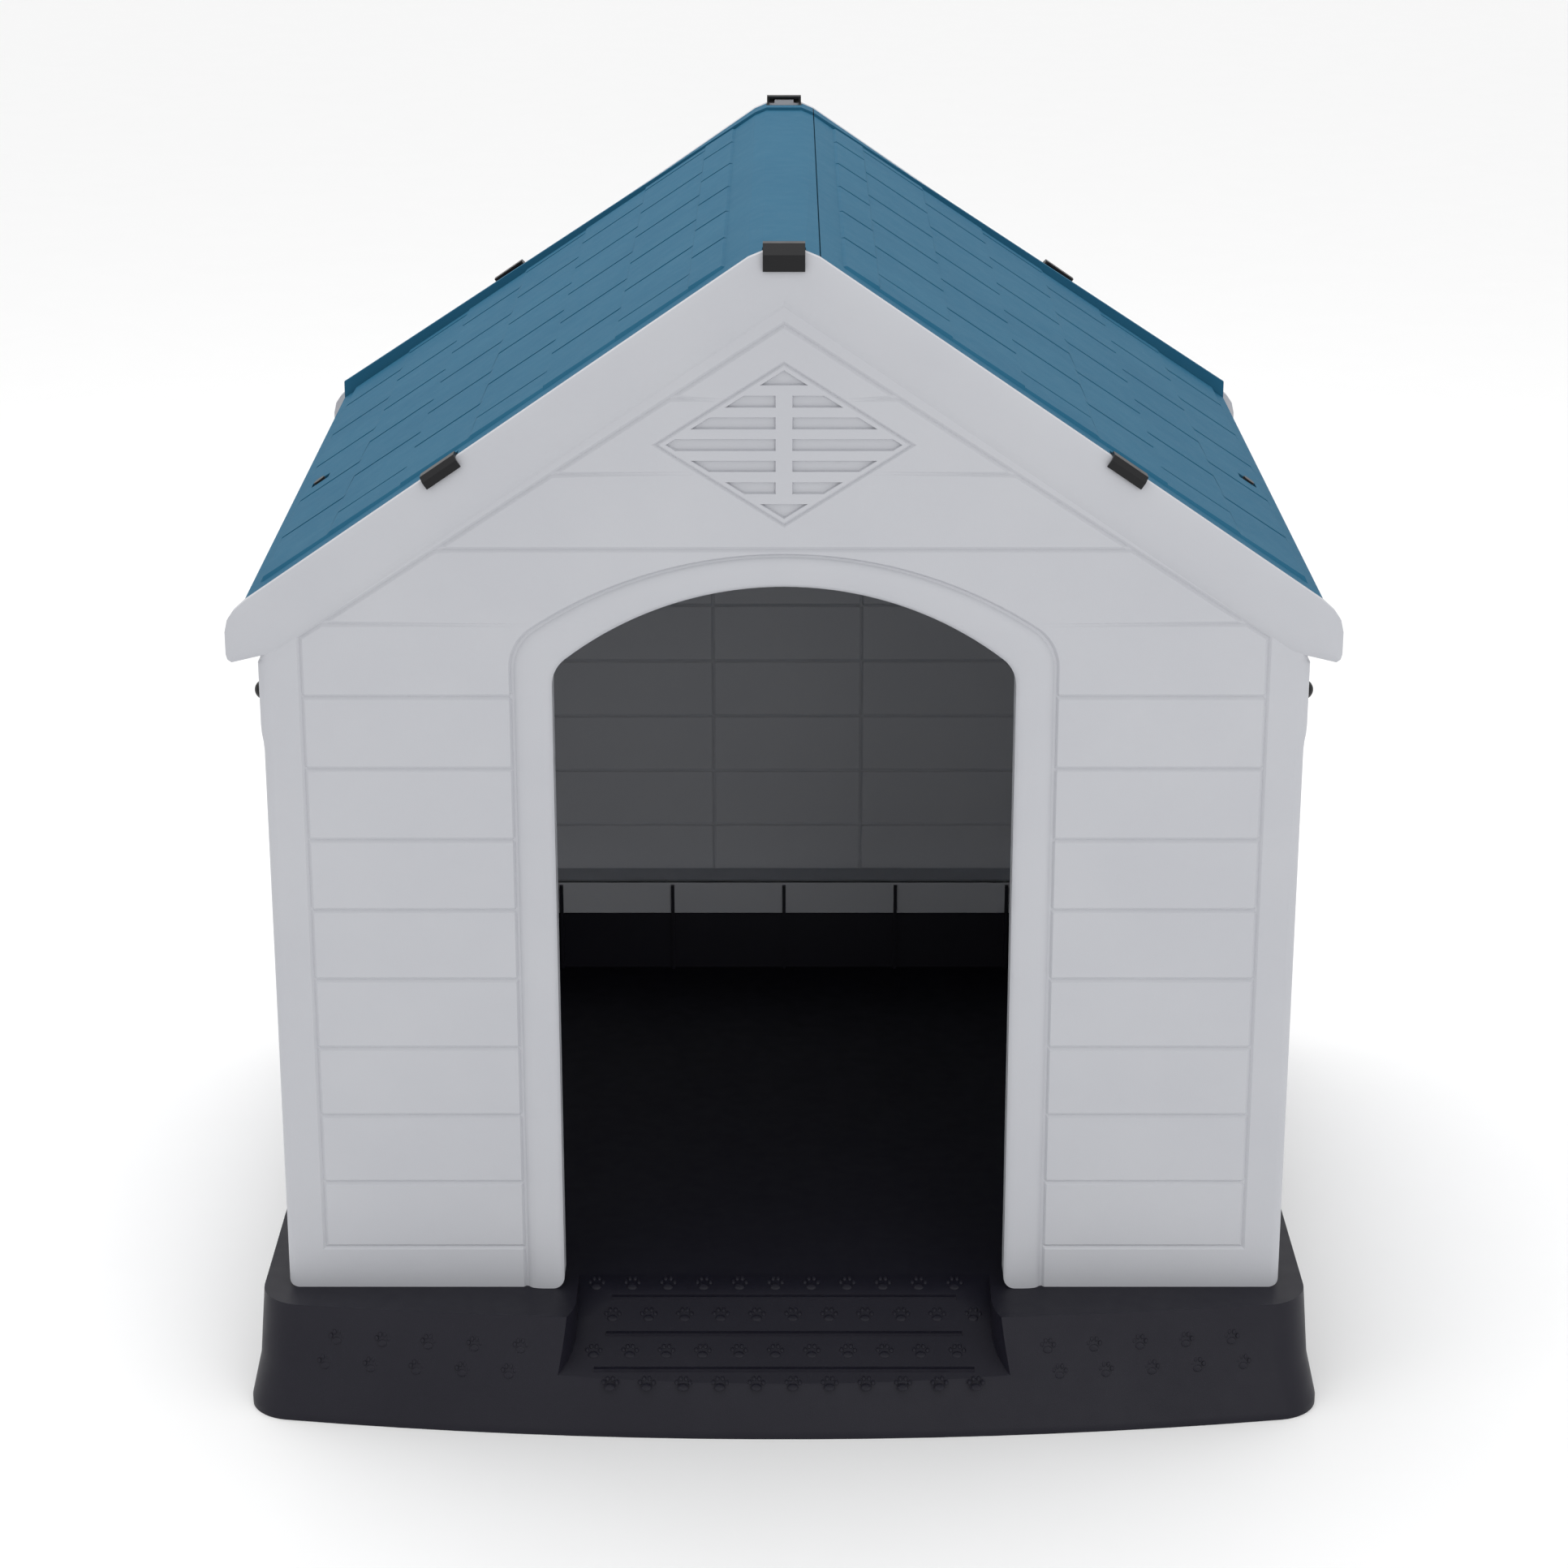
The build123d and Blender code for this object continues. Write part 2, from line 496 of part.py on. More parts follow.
def left_roof():
    """Left roof half, with the ridge cap and the two apex clip notches."""
    shape = roof_common(-EAVE_X, SEAM_X - 1)
    shape = clip_notches(shape, (-CLIP_X_FRONT, 0), back=False)
    return clip_notches(shape, (-CLIP_X_BACK, 0), back=True)


def right_roof():
    """Right roof half, with a tongue that runs under the ridge cap."""
    shape = roof_common(SEAM_X, EAVE_X)
    far, low = SEAM_X + TONGUE_LAP, SHEET_T + TONGUE_T
    ends = (TONGUE_END_Y, BACK_Y - TONGUE_END_Y)
    shape += gable_layer(TONGUE_NEAR_X, far, SHEET_T + 0.5, low, *ends)
    shape += gable_layer(SEAM_X, far, SHEET_T - 1, low, *ends)
    shape = clip_notches(shape, (CLIP_X_FRONT,), back=False)
    return clip_notches(shape, (CLIP_X_BACK,), back=True)


def turned_pair(piece, *places):
    """A right-hand piece built at y = 0, and its turned copy on the left, at each place in y."""
    return [Pos(0, y, 0) * Rot(0, 0, turn) * piece for turn in (0, 180) for y in places]


def corner_screw():
    """Domed screw through the pad, flange and side panel."""
    head_x = WALL_HALF + PAD_PROUD
    end_x = SIDE_OUT - SKIN - NUT_T
    dome_r = (SCREW_HEAD_R ** 2 + SCREW_HEAD_T ** 2) / (2 * SCREW_HEAD_T)
    half_r = SCREW_HEAD_R / 2
    half_rise = math.sqrt(dome_r ** 2 - half_r ** 2) - dome_r + SCREW_HEAD_T
    top, rim = (head_x + SCREW_HEAD_T, 0), (head_x, SCREW_HEAD_R)
    crown = ThreePointArc(top, (head_x + half_rise, half_r), rim)
    rest = Polyline(rim, (head_x, SCREW_R), (end_x, SCREW_R), (end_x, 0), top)
    return revolve(make_face(crown + rest), Axis.X)


def corner_nut():
    """Flanged hexagon nut inside the side panel."""
    face_x = SIDE_OUT - SKIN
    flange = Pos(face_x - 1, 0, 0) * Rot(0, 90, 0) * Cylinder(NUT_R + 2, 2)
    prism = extrude(RegularPolygon(NUT_R, 6), NUT_T - 2)
    body = Pos(face_x - NUT_T, 0, 0) * Rot(0, 90, 0) * prism
    bore = Pos(face_x - NUT_T / 2, 0, 0) * Rot(0, 90, 0) * Cylinder(SCREW_R + 0.03, 2 * NUT_T)
    return flange + body - bore


def clip_nodes():
    """Every clip and its hinge pin in place, by node name."""
    nodes = {}
    for end, side_x, move in (("front", CLIP_X_FRONT, None), ("back", CLIP_X_BACK, to_back)):
        for side, x in (("left", -side_x), ("apex", 0), ("right", side_x)):
            place = clip_place(x)
            clip, pin = place * clip_solid(clip_sizes(x, end == "back")), place * clip_pin()
            nodes[f"clip_{end}_{side}"] = move(clip) if move else clip
            nodes[f"clip_pin_{end}_{side}"] = move(pin) if move else pin
    return nodes


def all_nodes():
    """Every node by name, in the build coordinates."""
    right_side = side_panel()
    corners = (SCREW_Y, BACK_Y - SCREW_Y)
    nodes = {
        "base_tray": base_tray(),
        "front_panel": front_panel(),
        "back_panel": back_panel(),
        "left_side_panel": mirror(right_side, Plane.YZ),
        "right_side_panel": right_side,
        "left_roof": left_roof(),
        "right_roof": right_roof(),
        "roof_pegs": Compound(children=turned_pair(roof_peg(), PEG_Y)),
        "corner_screws": Compound(children=turned_pair(Pos(0, 0, SCREW_Z) * corner_screw(), *corners)),
        "corner_nuts": Compound(children=turned_pair(Pos(0, 0, SCREW_Z) * corner_nut(), *corners)),
    }
    nodes.update(clip_nodes())
    return nodes


def main():
    """Write one STEP file for each node."""
    os.makedirs("parts", exist_ok=True)
    for name, shape in all_nodes().items():
        export_step(FRAME_SHIFT * shape, f"parts/{name}.step")


main()
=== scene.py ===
import json
import math

import bmesh
import bpy
import numpy as np
from mathutils import Matrix, Vector
from mathutils.geometry import delaunay_2d_cdt


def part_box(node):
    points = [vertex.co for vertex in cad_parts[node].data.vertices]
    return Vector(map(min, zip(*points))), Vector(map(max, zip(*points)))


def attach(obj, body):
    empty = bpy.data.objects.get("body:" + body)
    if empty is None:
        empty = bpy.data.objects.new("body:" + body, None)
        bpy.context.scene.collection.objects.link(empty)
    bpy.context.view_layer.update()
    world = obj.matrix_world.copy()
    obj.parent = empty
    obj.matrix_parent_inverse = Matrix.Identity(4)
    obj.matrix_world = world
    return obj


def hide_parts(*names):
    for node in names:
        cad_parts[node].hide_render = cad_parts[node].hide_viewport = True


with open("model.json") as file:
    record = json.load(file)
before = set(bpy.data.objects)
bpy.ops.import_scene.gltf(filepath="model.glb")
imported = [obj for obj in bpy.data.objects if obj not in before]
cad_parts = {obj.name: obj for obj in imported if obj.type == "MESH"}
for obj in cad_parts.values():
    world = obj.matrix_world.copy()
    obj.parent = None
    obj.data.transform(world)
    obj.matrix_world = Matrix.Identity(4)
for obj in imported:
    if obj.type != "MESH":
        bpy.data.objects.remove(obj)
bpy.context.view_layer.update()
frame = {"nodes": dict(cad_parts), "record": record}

# Looks of the plastic dog house. Sizes are in millimetres in the house's own coordinates: y = 0 is
# the front wall's face, +Y runs to the back, z = 0 is the ground. point() turns them into metres in
# the frame's coordinates.

MM = 0.001

# Places read from the frame, and the insets that lead from its boxes to them
FASCIA_PROUD = 6.0
PIVOT_INSET = 4.0           # the clips' pivots lie this far under the gable's rim
APEX_BOSS = 7.5             # the apex clip's boss ends this far above its pivot
HOUSE_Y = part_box("front_panel")[0].y / MM + FASCIA_PROUD
BACK_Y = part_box("back_panel")[1].y / MM - FASCIA_PROUD - HOUSE_Y
APEX_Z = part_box("front_panel")[1].z / MM - APEX_BOSS + PIVOT_INSET
SIDE_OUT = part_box("right_side_panel")[1].x / MM

# Gable outline, as in the CAD
WALL_HALF = 452.0
DECK_Z = 102.0
WALL_TOP = 745.0
SKIN = 3.0
EAVE_X = 464.6
KNEE_X = 30.0
KNEE_Z = 1053.0
KNEE_SHIFT = 0.3            # an inset line's knee is nearer the middle by this share of the inset
SHOULDER_X = 18.0
RAKE_SLOPE = 0.6845
RAKE_ANGLE = math.atan(RAKE_SLOPE)
SHOULDER_SLOPE = (APEX_Z - KNEE_Z) / (KNEE_X - SHOULDER_X)

# Fascia: the outline of its end at the eave, and its height at each distance from its edge
FASCIA_WIDTH = 52.0
FASCIA_BACK = 7.6
FASCIA_END = ((474.5, 746.5), (480.0, 738.5), (482.4, 728.0), (482.4, 708.0), (481.0, 703.2),
              (477.5, 700.8), (439.0, 710.0))
FASCIA_PROFILE = ((0, 1.0), (2, 2.2), (5, 3.4), (9, 4.5), (15, 5.5), (22, 5.95))

# Fittings inside the gable ends
UNDER_FACE = 1.0            # fittings end this far under the face of the sheet that they join
LEDGE_INSET = 12.0
LEDGE_NEAR = 6.0
LEDGE_DEPTH = 40.0
CLIP_Y = 14.0               # the clips' pivots lie this far behind the wall's face
FRONT_CLIP_X = 293.0
BACK_CLIP_X = 288.0
BOSS_HALF = 10.0
BOSS_REACH = (-12.0, -6.6)
BOSS_LOW = 1.5
SLIM_BOSS = 4.6
TONGUE_HALF = 20.0
TONGUE_REACH = (10.0, 13.0)
TONGUE_DROP = 15.0
FRONT_TONGUES = (-400.0, -260.0, 260.0, 400.0)
BACK_TONGUES = (-400.0, -200.0, 0.0, 200.0, 400.0)
SILL_NEAR_X = 205.0
SILL_FAR_X = 440.0
SHELF_HALF = 436.0
SHELF_DEPTH = 43.0
SHELF_TOP = 205.0
SHELF_LOW = 166.5

# Gable walls: a sheet that wraps round the corners and ends under the fascia
CORNER_R = 7.0
CORNER_STEPS = 4
FLANGE_DEPTH = 60.0
FLAT_HALF = WALL_HALF - CORNER_R
WRAP = CORNER_R * math.pi / 2
WALL_REACH = FLAT_HALF + WRAP + FLANGE_DEPTH - CORNER_R
SHEET_KNEE = WALL_HALF - 12.0
SHEET_INSET = 28.0
FOOT_R = 10.0               # rounded lower corners
FOOT_STEPS = 6
FOOT_START = FLAT_HALF - 2.0    # where the rounding starts, measured along the sheet
FOOT_WIDTH = WRAP + 2.0

# Lap boards, and the pads round the corner screws. The pad tables give how much of PAD_PROUD there
# is at each height, and at each distance from the middle.
BOARD_PITCH = 66.05
BOARD_LOW = 207.1
BOARD_COUNT = 12
BOARD_PROUD = 1.8
GROOVE_HALF = 2.6
FIELD_HALF = 418.3
FIELD_LOW = 142.4
FIELD_SIDE_TOP = 723.0
FIELD_APEX = 997.0
PAD_PROUD = 4.0
PAD_STEPS = ((618, 0), (626, 0.25), (634, 0.8), (642, 1), (699, 1), (702, 0))
PAD_SIDES = ((446, 0), (453, 1))

# Raised lines on the back wall's inner face
LINE_Z = 511.2
LINE_PITCH = 63.4
LINE_LEVELS = [LINE_Z - LINE_PITCH * i for i in range(-5, 5)]
LINE_UPRIGHTS = (-77.6, 85.1)
LINE_REACH = 430.0
LINE_LOW = 205.0
LINE_HIGH = 960.0
LINE_HALF = 2.2
LINE_PROUD = 1.6

# Door: half width, top, crown radius and corner radius, for the opening (share 0) and for the
# frame's outer edge (share 1). The profile is the frame's height at each share.
DOOR_OPENING = (201.0, 769.0, 308.0, 30.0)
DOOR_FRAME = (233.0, 794.0, 383.0, 42.0)
FRAME_PROFILE = ((0, 2.0), (0.05, 3.6), (0.13, 4.7), (0.3, 5.3), (0.55, 5.4), (0.75, 4.9),
                 (0.9, 3.6), (0.98, 1.8), (1.03, 0.0), (1.1, -0.6), (1.17, BOARD_PROUD))
FAR_SHARE = 1.5             # stands for anything further out than this
HALVINGS = 14
ARC_STEPS = 10
JAMB_DEPTH = 23.0
JAMB_SHARE = 0.1

# Diamond vent. The ring is its rim's height at each distance outside the diamond.
VENT_Z = 893.5
VENT_HALF = 101.0
VENT_HIGH = 65.0
VENT_RING = ((0, BOARD_PROUD), (2.6, BOARD_PROUD), (4.4, 0.2), (6.2, BOARD_PROUD))
MULLION_HALF = 7.0
SLOT_ROWS = range(-2, 3)
SLOT_HALF = 5.2
SLOT_PITCH = 18.8
SLOT_DEPTH = 3.0
SLOT_SLOPE = 0.9
SLOT_MARGIN = 0.6
TIP_RISE = 51.5

# Side walls
SIDE_GAP = 8.5
SIDE_FADE = ((44, 0), (52, 1))      # boards fade out towards the gable walls' flanges
SIDE_FIELD_INSET = 60.0
SIDE_FIELD_TOP = 720.0
LIP_NEAR_X = 425.0
LIP_END = 64.0
RIB_NEAR_X = 437.4
RIB_PITCH = 170.0
RIB_HALF = 1.5
RIB_LOW = 186.0
TONGUE_LAP = 1.0

# Roof: courses run along the eave, and each shingle ends at a joint
COURSE_EAVE = 454.6
COURSE_RIDGE = 50.0
COURSE_COUNT = 7
COURSE_X = 62.2
COURSE_LAP = 1.0
COURSE_EDGES = [COURSE_EAVE - COURSE_X * i for i in range(COURSE_COUNT)] + [COURSE_RIDGE]
SHINGLE_FRONT = 30.0
SHINGLE_BACK = 768.0
SHINGLE_PROUD = 3.2
SHINGLE_SUNK = 1.0
EDGE_RUN = 3.0              # heights fall to nothing over this distance at an edge
STEP_RUN = 0.4              # width of the step between two courses
JOINT_PITCH = 130.0
JOINT_START = 33.0
JOINT_GROOVE = 2.6
JOINT_DEPTH = 2.2
JOINT_FALL = 0.4
JOINT_STEP = 0.3
JOINT_CLEAR = 6.0
PEG_NEAR_X = 428.5
PEG_FAR_X = 445.0
PEG_LOW_Y = 323.0
PEG_HIGH_Y = 339.0

# Paw prints. Sizes of the pad and the toes are shares of a print's size. The ramp's rows are shares
# of its run, from its top. The plinth leans back, and bows out less at its top than at its foot.
PAW_PAD = (0.26, 0.2)
PAW_PAD_DROP = 0.18
PAW_TOE = (0.1, 0.14)
PAW_TOES = ((-0.30, 0.10), (-0.11, 0.30), (0.14, 0.30), (0.33, 0.08))
DOME_STEPS = 14
DOME_RINGS = ((1.0, -0.4), (0.94, 0.45), (0.7, 0.85), (0.35, 1.0))
RAMP_SLOPE = 0.5217
RAMP_TOP_Y = 23.0
RAMP_RUN = 115.0
RAMP_REACH = 165.0
RAMP_ROWS = (0.08, 0.35, 0.66, 0.93)
RAMP_PAWS = 11
RAMP_STAGGER = 8.0
RAMP_PAW_SIZE = 19.0
RAMP_PAW_PROUD = 1.1
PLINTH_LEAN = math.radians(16)
PLINTH_ROWS = ((75, 0), (52, 11))   # height, and shift outwards along x
PLINTH_PAWS = 5
PLINTH_START = 238.0
PLINTH_PITCH = 42.0
PLINTH_HALF = 480.0
PLINTH_FOOT_Y = -55.0
PLINTH_RISE_Y = 22.0
PLINTH_BOW = 42.0
PLINTH_BOW_LOSS = 7.0
PLINTH_PAW_SIZE = 17.0
PLINTH_PAW_PROUD = 0.9

# Finish of the meshes
BEVEL_SEGMENTS = 3
BEVEL_ANGLE = math.radians(35)
BEVEL_SHARP = 50.0
WELD_DISTANCE = 1e-6
FLAT_ANGLE = math.radians(0.5)
GUIDE_TOLERANCE = 1e-4

# Plastic: scale and detail of each noise
PATCH_NOISE = (9, 6)
PATCH_RANGE = (0.35, 0.65)
PATCH_SHARE = 0.5
GLOSS_NOISE = (60, 4)
GLOSS_SPREAD = 0.07
GRAIN_NOISE = (1100, 3)
GRAIN_DEPTH = 0.0003

# Studio, in metres. Each light has a name, a place, an aim, a size and its watts.
FLOOR_HALF = 12.0
LIGHTS = (("key", (-0.4, 0.6, 3.4), (0, 0, 0.6), 2.6, 40),
          ("fill", (1.5, -3.4, 1.6), (0, 0, 0.5), 2.0, 14))

# Camera, placed in the house's millimetres
CAMERA_Y = -3038.9
CAMERA_Z = 1638.6
CAMERA_PITCH = 19.05
LENS = 84.4
SENSOR_WIDTH = 36


def point(x, y, z):
    """House millimetres to metres in the frame's coordinates."""
    return Vector((x, y + HOUSE_Y, z)) * MM


def gable_z(x, inset=0.0):
    """Height of the gable outline at x, moved inwards by inset."""
    x = abs(x)
    rake = KNEE_Z + (KNEE_X - x) * RAKE_SLOPE - inset * math.hypot(1, RAKE_SLOPE)
    shoulder = APEX_Z + (SHOULDER_X - x) * SHOULDER_SLOPE - inset * math.hypot(1, SHOULDER_SLOPE)
    return min(rake, shoulder, APEX_Z - inset)


def curve(table, value):
    """Straight-line interpolation in a table of pairs."""
    return float(np.interp(value, [p[0] for p in table], [p[1] for p in table]))


def level(height):
    """A face that has the same height everywhere."""
    return lambda *_: height


def mirrored(line):
    return [(-x, z) for x, z in line]


def closed(line):
    return [*line, line[0]]


def rectangle(u, v):
    """Clockwise corners between two limits on each axis."""
    return [(u[0], v[0]), (u[0], v[1]), (u[1], v[1]), (u[1], v[0])]


def on_side(side, near, far):
    """Limits along x of a box on one side of the house."""
    return sorted((side * near, side * far))


def edge_distance(polygon, u, v, skip=()):
    """How far (u, v) lies inside a clockwise convex polygon, negative outside, leaving out edges."""
    nearest = math.inf
    for i, (a, b) in enumerate(zip(polygon, [*polygon[1:], polygon[0]])):
        if i in skip:
            continue
        du, dv = b[0] - a[0], b[1] - a[1]
        nearest = min(nearest, ((u - a[0]) * dv - (v - a[1]) * du) / math.hypot(du, dv))
    return nearest


def moved_in(polygon, amount, skip=()):
    """A clockwise convex polygon with its edges moved inwards, apart from those in skip."""
    lines = []
    for i, (a, b) in enumerate(zip(polygon, [*polygon[1:], polygon[0]])):
        d = Vector((b[0] - a[0], b[1] - a[1])).normalized()
        shift = 0 if i in skip else amount
        lines.append((Vector(a) + Vector((d.y, -d.x)) * shift, d))
    corners = []
    for (p, d), (q, e) in zip([lines[-1], *lines[:-1]], lines):
        along = (q - p).cross(e) / d.cross(e)
        corners.append(tuple(p + d * along))
    return corners


# Meshes


def make_object(name, bm, body, material, sharp=25.0, bevel=0.0, replaces=()):
    """Turns a bmesh into a finished piece that rides on a body."""
    bmesh.ops.recalc_face_normals(bm, faces=bm.faces)
    mesh = bpy.data.meshes.new(name)
    bm.to_mesh(mesh)
    bm.free()
    piece = bpy.data.objects.new(name, mesh)
    bpy.context.scene.collection.objects.link(piece)
    mesh.materials.append(material)
    if bevel:
        rounding = piece.modifiers.new("rounding", "BEVEL")
        rounding.width = bevel * MM
        rounding.segments = BEVEL_SEGMENTS
        rounding.limit_method = "ANGLE"
        rounding.angle_limit = BEVEL_ANGLE
        rounding.harden_normals = False
    mesh.shade_smooth()
    mesh.set_sharp_from_angle(angle=math.radians(BEVEL_SHARP if bevel else sharp))
    weighting = piece.modifiers.new("normals", "WEIGHTED_NORMAL")
    weighting.keep_sharp = True
    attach(piece, body)
    if replaces:
        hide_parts(*replaces)


def relief(bm, guides, inside, outer, inner, place):
    """Closed sheet with a height on each face. guides are the lines that its triangles follow."""
    points, edges = [], []
    for line in guides:
        start = len(points)
        points += [Vector(p) for p in line]
        edges += [(i, i + 1) for i in range(start, len(points) - 1)]
    flat, _, triangles, *_ = delaunay_2d_cdt(points, edges, [], 0, GUIDE_TOLERANCE)
    kept = [t for t in triangles if inside(*(sum((flat[i] for i in t), Vector((0, 0))) / 3))]
    used = sorted({i for t in kept for i in t})
    top = {i: bm.verts.new(place(*flat[i], outer(*flat[i]))) for i in used}
    low = {i: bm.verts.new(place(*flat[i], inner(*flat[i]))) for i in used}
    border = {}
    for t in kept:
        bm.faces.new([top[i] for i in t])
        bm.faces.new([low[i] for i in reversed(t)])
        for a, b in zip(t, [*t[1:], t[0]]):
            if (b, a) in border:
                del border[b, a]
            else:
                border[a, b] = True
    for a, b in border:
        bm.faces.new((top[b], top[a], low[a], low[b]))


def block(bm, x, y, z, place=point):
    """Box between two limits on each axis."""
    corners = [bm.verts.new(place(i, j, k)) for i in x for j in y for k in z]
    for face in ((0, 1, 3, 2), (4, 6, 7, 5), (0, 4, 5, 1), (2, 3, 7, 6), (0, 2, 6, 4), (1, 5, 7, 3)):
        bm.faces.new([corners[i] for i in face])


def sweep(bm, lines):
    """Bar whose long edges are the given lines, each with the same number of points."""
    rows = [[bm.verts.new(p) for p in line] for line in lines]
    for a, b in zip(rows, [*rows[1:], rows[0]]):
        for i in range(len(a) - 1):
            bm.faces.new((a[i], a[i + 1], b[i + 1], b[i]))
    bm.faces.new([row[0] for row in reversed(rows)])
    bm.faces.new([row[-1] for row in rows])


def softened(node, body, material, bevel):
    """A piece with the CAD node's shape and rounded edges, which stands for the node."""
    bm = bmesh.new()
    bm.from_mesh(frame["nodes"][node].data)
    bmesh.ops.remove_doubles(bm, verts=bm.verts, dist=WELD_DISTANCE)
    bmesh.ops.dissolve_limit(bm, angle_limit=FLAT_ANGLE, verts=bm.verts, edges=bm.edges)
    make_object(f"{node}_rounded", bm, body, material, bevel=bevel, replaces=(node,))


# Materials


def noise(tree, place, scale, detail):
    """Output of a noise texture in the piece's own coordinates."""
    node = tree.nodes.new("ShaderNodeTexNoise")
    node.inputs["Scale"].default_value = scale
    node.inputs["Detail"].default_value = detail
    tree.links.new(place.outputs["Object"], node.inputs["Vector"])
    return node.outputs["Fac"]


def plastic(name, colour, tint, roughness, grain, shine=0.5):
    """Plastic with faint patches of a tint, uneven gloss and a fine grain."""
    material = bpy.data.materials.new(name)
    material.use_nodes = True
    tree = material.node_tree
    shader = tree.nodes["Principled BSDF"]
    shader.inputs["Specular IOR Level"].default_value = shine
    place = tree.nodes.new("ShaderNodeTexCoord")

    blend = tree.nodes.new("ShaderNodeMix")
    blend.data_type = "RGBA"
    blend.inputs["A"].default_value = (*colour, 1)
    blend.inputs["B"].default_value = (*tint, 1)
    spread = tree.nodes.new("ShaderNodeMapRange")
    spread.inputs["From Min"].default_value = PATCH_RANGE[0]
    spread.inputs["From Max"].default_value = PATCH_RANGE[1]
    spread.inputs["To Max"].default_value = PATCH_SHARE
    tree.links.new(noise(tree, place, *PATCH_NOISE), spread.inputs["Value"])
    tree.links.new(spread.outputs["Result"], blend.inputs["Factor"])
    tree.links.new(blend.outputs["Result"], shader.inputs["Base Color"])

    gloss = tree.nodes.new("ShaderNodeMapRange")
    gloss.inputs["To Min"].default_value = roughness - GLOSS_SPREAD
    gloss.inputs["To Max"].default_value = roughness + GLOSS_SPREAD
    tree.links.new(noise(tree, place, *GLOSS_NOISE), gloss.inputs["Value"])
    tree.links.new(gloss.outputs["Result"], shader.inputs["Roughness"])

    bump = tree.nodes.new("ShaderNodeBump")
    bump.inputs["Strength"].default_value = grain
    bump.inputs["Distance"].default_value = GRAIN_DEPTH
    tree.links.new(noise(tree, place, *GRAIN_NOISE), bump.inputs["Height"])
    tree.links.new(bump.outputs["Normal"], shader.inputs["Normal"])
    return material


WALL = plastic("wall_plastic", (0.465, 0.473, 0.502), (0.437, 0.445, 0.478),
               roughness=0.50, grain=0.25, shine=0.35)
ROOF = plastic("roof_plastic", (0.015, 0.099, 0.174), (0.022, 0.115, 0.192),
               roughness=0.66, grain=0.4, shine=0.1)
BASE = plastic("base_plastic", (0.008, 0.0075, 0.0135), (0.012, 0.0115, 0.018),
               roughness=0.46, grain=0.35, shine=0.22)
BLACK = plastic("black_plastic", (0.004, 0.004, 0.005), (0.007, 0.007, 0.008),
                roughness=0.42, grain=0.15, shine=0.25)


# Gable ends


def flat_place(x, z, out):
    """Flat board on the front wall's face."""
    return point(x, -out, z)


def front_place(u, z, out):
    """Wall sheet whose edges wrap round the corners, at the front."""
    side, turn = math.copysign(1, u), (abs(u) - FLAT_HALF) / CORNER_R
    if turn <= 0:
        return flat_place(u, z, out)
    if turn <= math.pi / 2:
        reach = CORNER_R + out
        x = side * (FLAT_HALF + reach * math.sin(turn))
        return point(x, CORNER_R - reach * math.cos(turn), z)
    return point(side * (WALL_HALF + out), abs(u) - FLAT_HALF - WRAP + CORNER_R, z)


def at_front(place):
    """The same placing, which is already at the front of the house."""
    return place


def at_back(place):
    """The same placing, mirrored to the back of the house."""
    def place_behind(*where):
        p = place(*where)
        return Vector((p.x, (BACK_Y + 2 * HOUSE_Y) * MM - p.y, p.z))
    return place_behind


def arch_size(share):
    return [a + (b - a) * share for a, b in zip(DOOR_OPENING, DOOR_FRAME)]


def arch_marks(share):
    """Centre height and corner places of the door outline at that share."""
    half, top, arc_r, corner_r = arch_size(share)
    centre_z, run = top - arc_r, half - corner_r
    corner_z = centre_z + math.sqrt((arc_r - corner_r) ** 2 - run ** 2)
    return half, arc_r, corner_r, centre_z, run, corner_z


def in_arch(x, z, share):
    half, arc_r, corner_r, centre_z, run, corner_z = arch_marks(share)
    x = abs(x)
    if z <= corner_z:
        return x <= half
    if x * (corner_z - centre_z) > run * (z - centre_z):
        return math.hypot(x - run, z - corner_z) <= corner_r
    return math.hypot(x, z - centre_z) <= arc_r


def arch_line(share):
    """Door outline from the left foot over the crown to the right foot."""
    half, arc_r, corner_r, centre_z, run, corner_z = arch_marks(share)
    lean = math.atan2(run, corner_z - centre_z)
    right = [(half, DECK_Z), (half, corner_z)]
    for i in range(1, ARC_STEPS + 1):
        angle = math.pi / 2 - (math.pi / 2 - lean) * i / ARC_STEPS
        right.append((run + corner_r * math.sin(angle), corner_z + corner_r * math.cos(angle)))
    for i in range(1, 2 * ARC_STEPS + 1):
        angle = lean * (1 - i / (2 * ARC_STEPS))
        right.append((arc_r * math.sin(angle), centre_z + arc_r * math.cos(angle)))
    return mirrored(right)[:-1] + right[::-1]


def arch_share(x, z):
    """Where a point lies across the door frame, found by halving."""
    low, high = 0.0, FAR_SHARE
    if not in_arch(x, z, high):
        return high
    for _ in range(HALVINGS):
        middle = (low + high) / 2
        low, high = (low, middle) if in_arch(x, z, middle) else (middle, high)
    return high


FIELD = [(-FIELD_HALF, FIELD_LOW), (-FIELD_HALF, FIELD_SIDE_TOP), (0, FIELD_APEX),
         (FIELD_HALF, FIELD_SIDE_TOP), (FIELD_HALF, FIELD_LOW)]
DIAMOND = [(-VENT_HALF, VENT_Z), (0, VENT_Z + VENT_HIGH),
           (VENT_HALF, VENT_Z), (0, VENT_Z - VENT_HIGH)]


def board_lines(spread=0.0):
    return [BOARD_LOW + BOARD_PITCH * i + spread for i in range(BOARD_COUNT)]


def board_height(field, u, z):
    """Boards stand proud of the grooves between them and of the groove round the field."""
    border = edge_distance(field, u, z)
    nearest = abs(border)
    if border > 0:
        nearest = min(nearest, *(abs(z - line) for line in board_lines()))
    return BOARD_PROUD * min(nearest / GROOVE_HALF, 1)


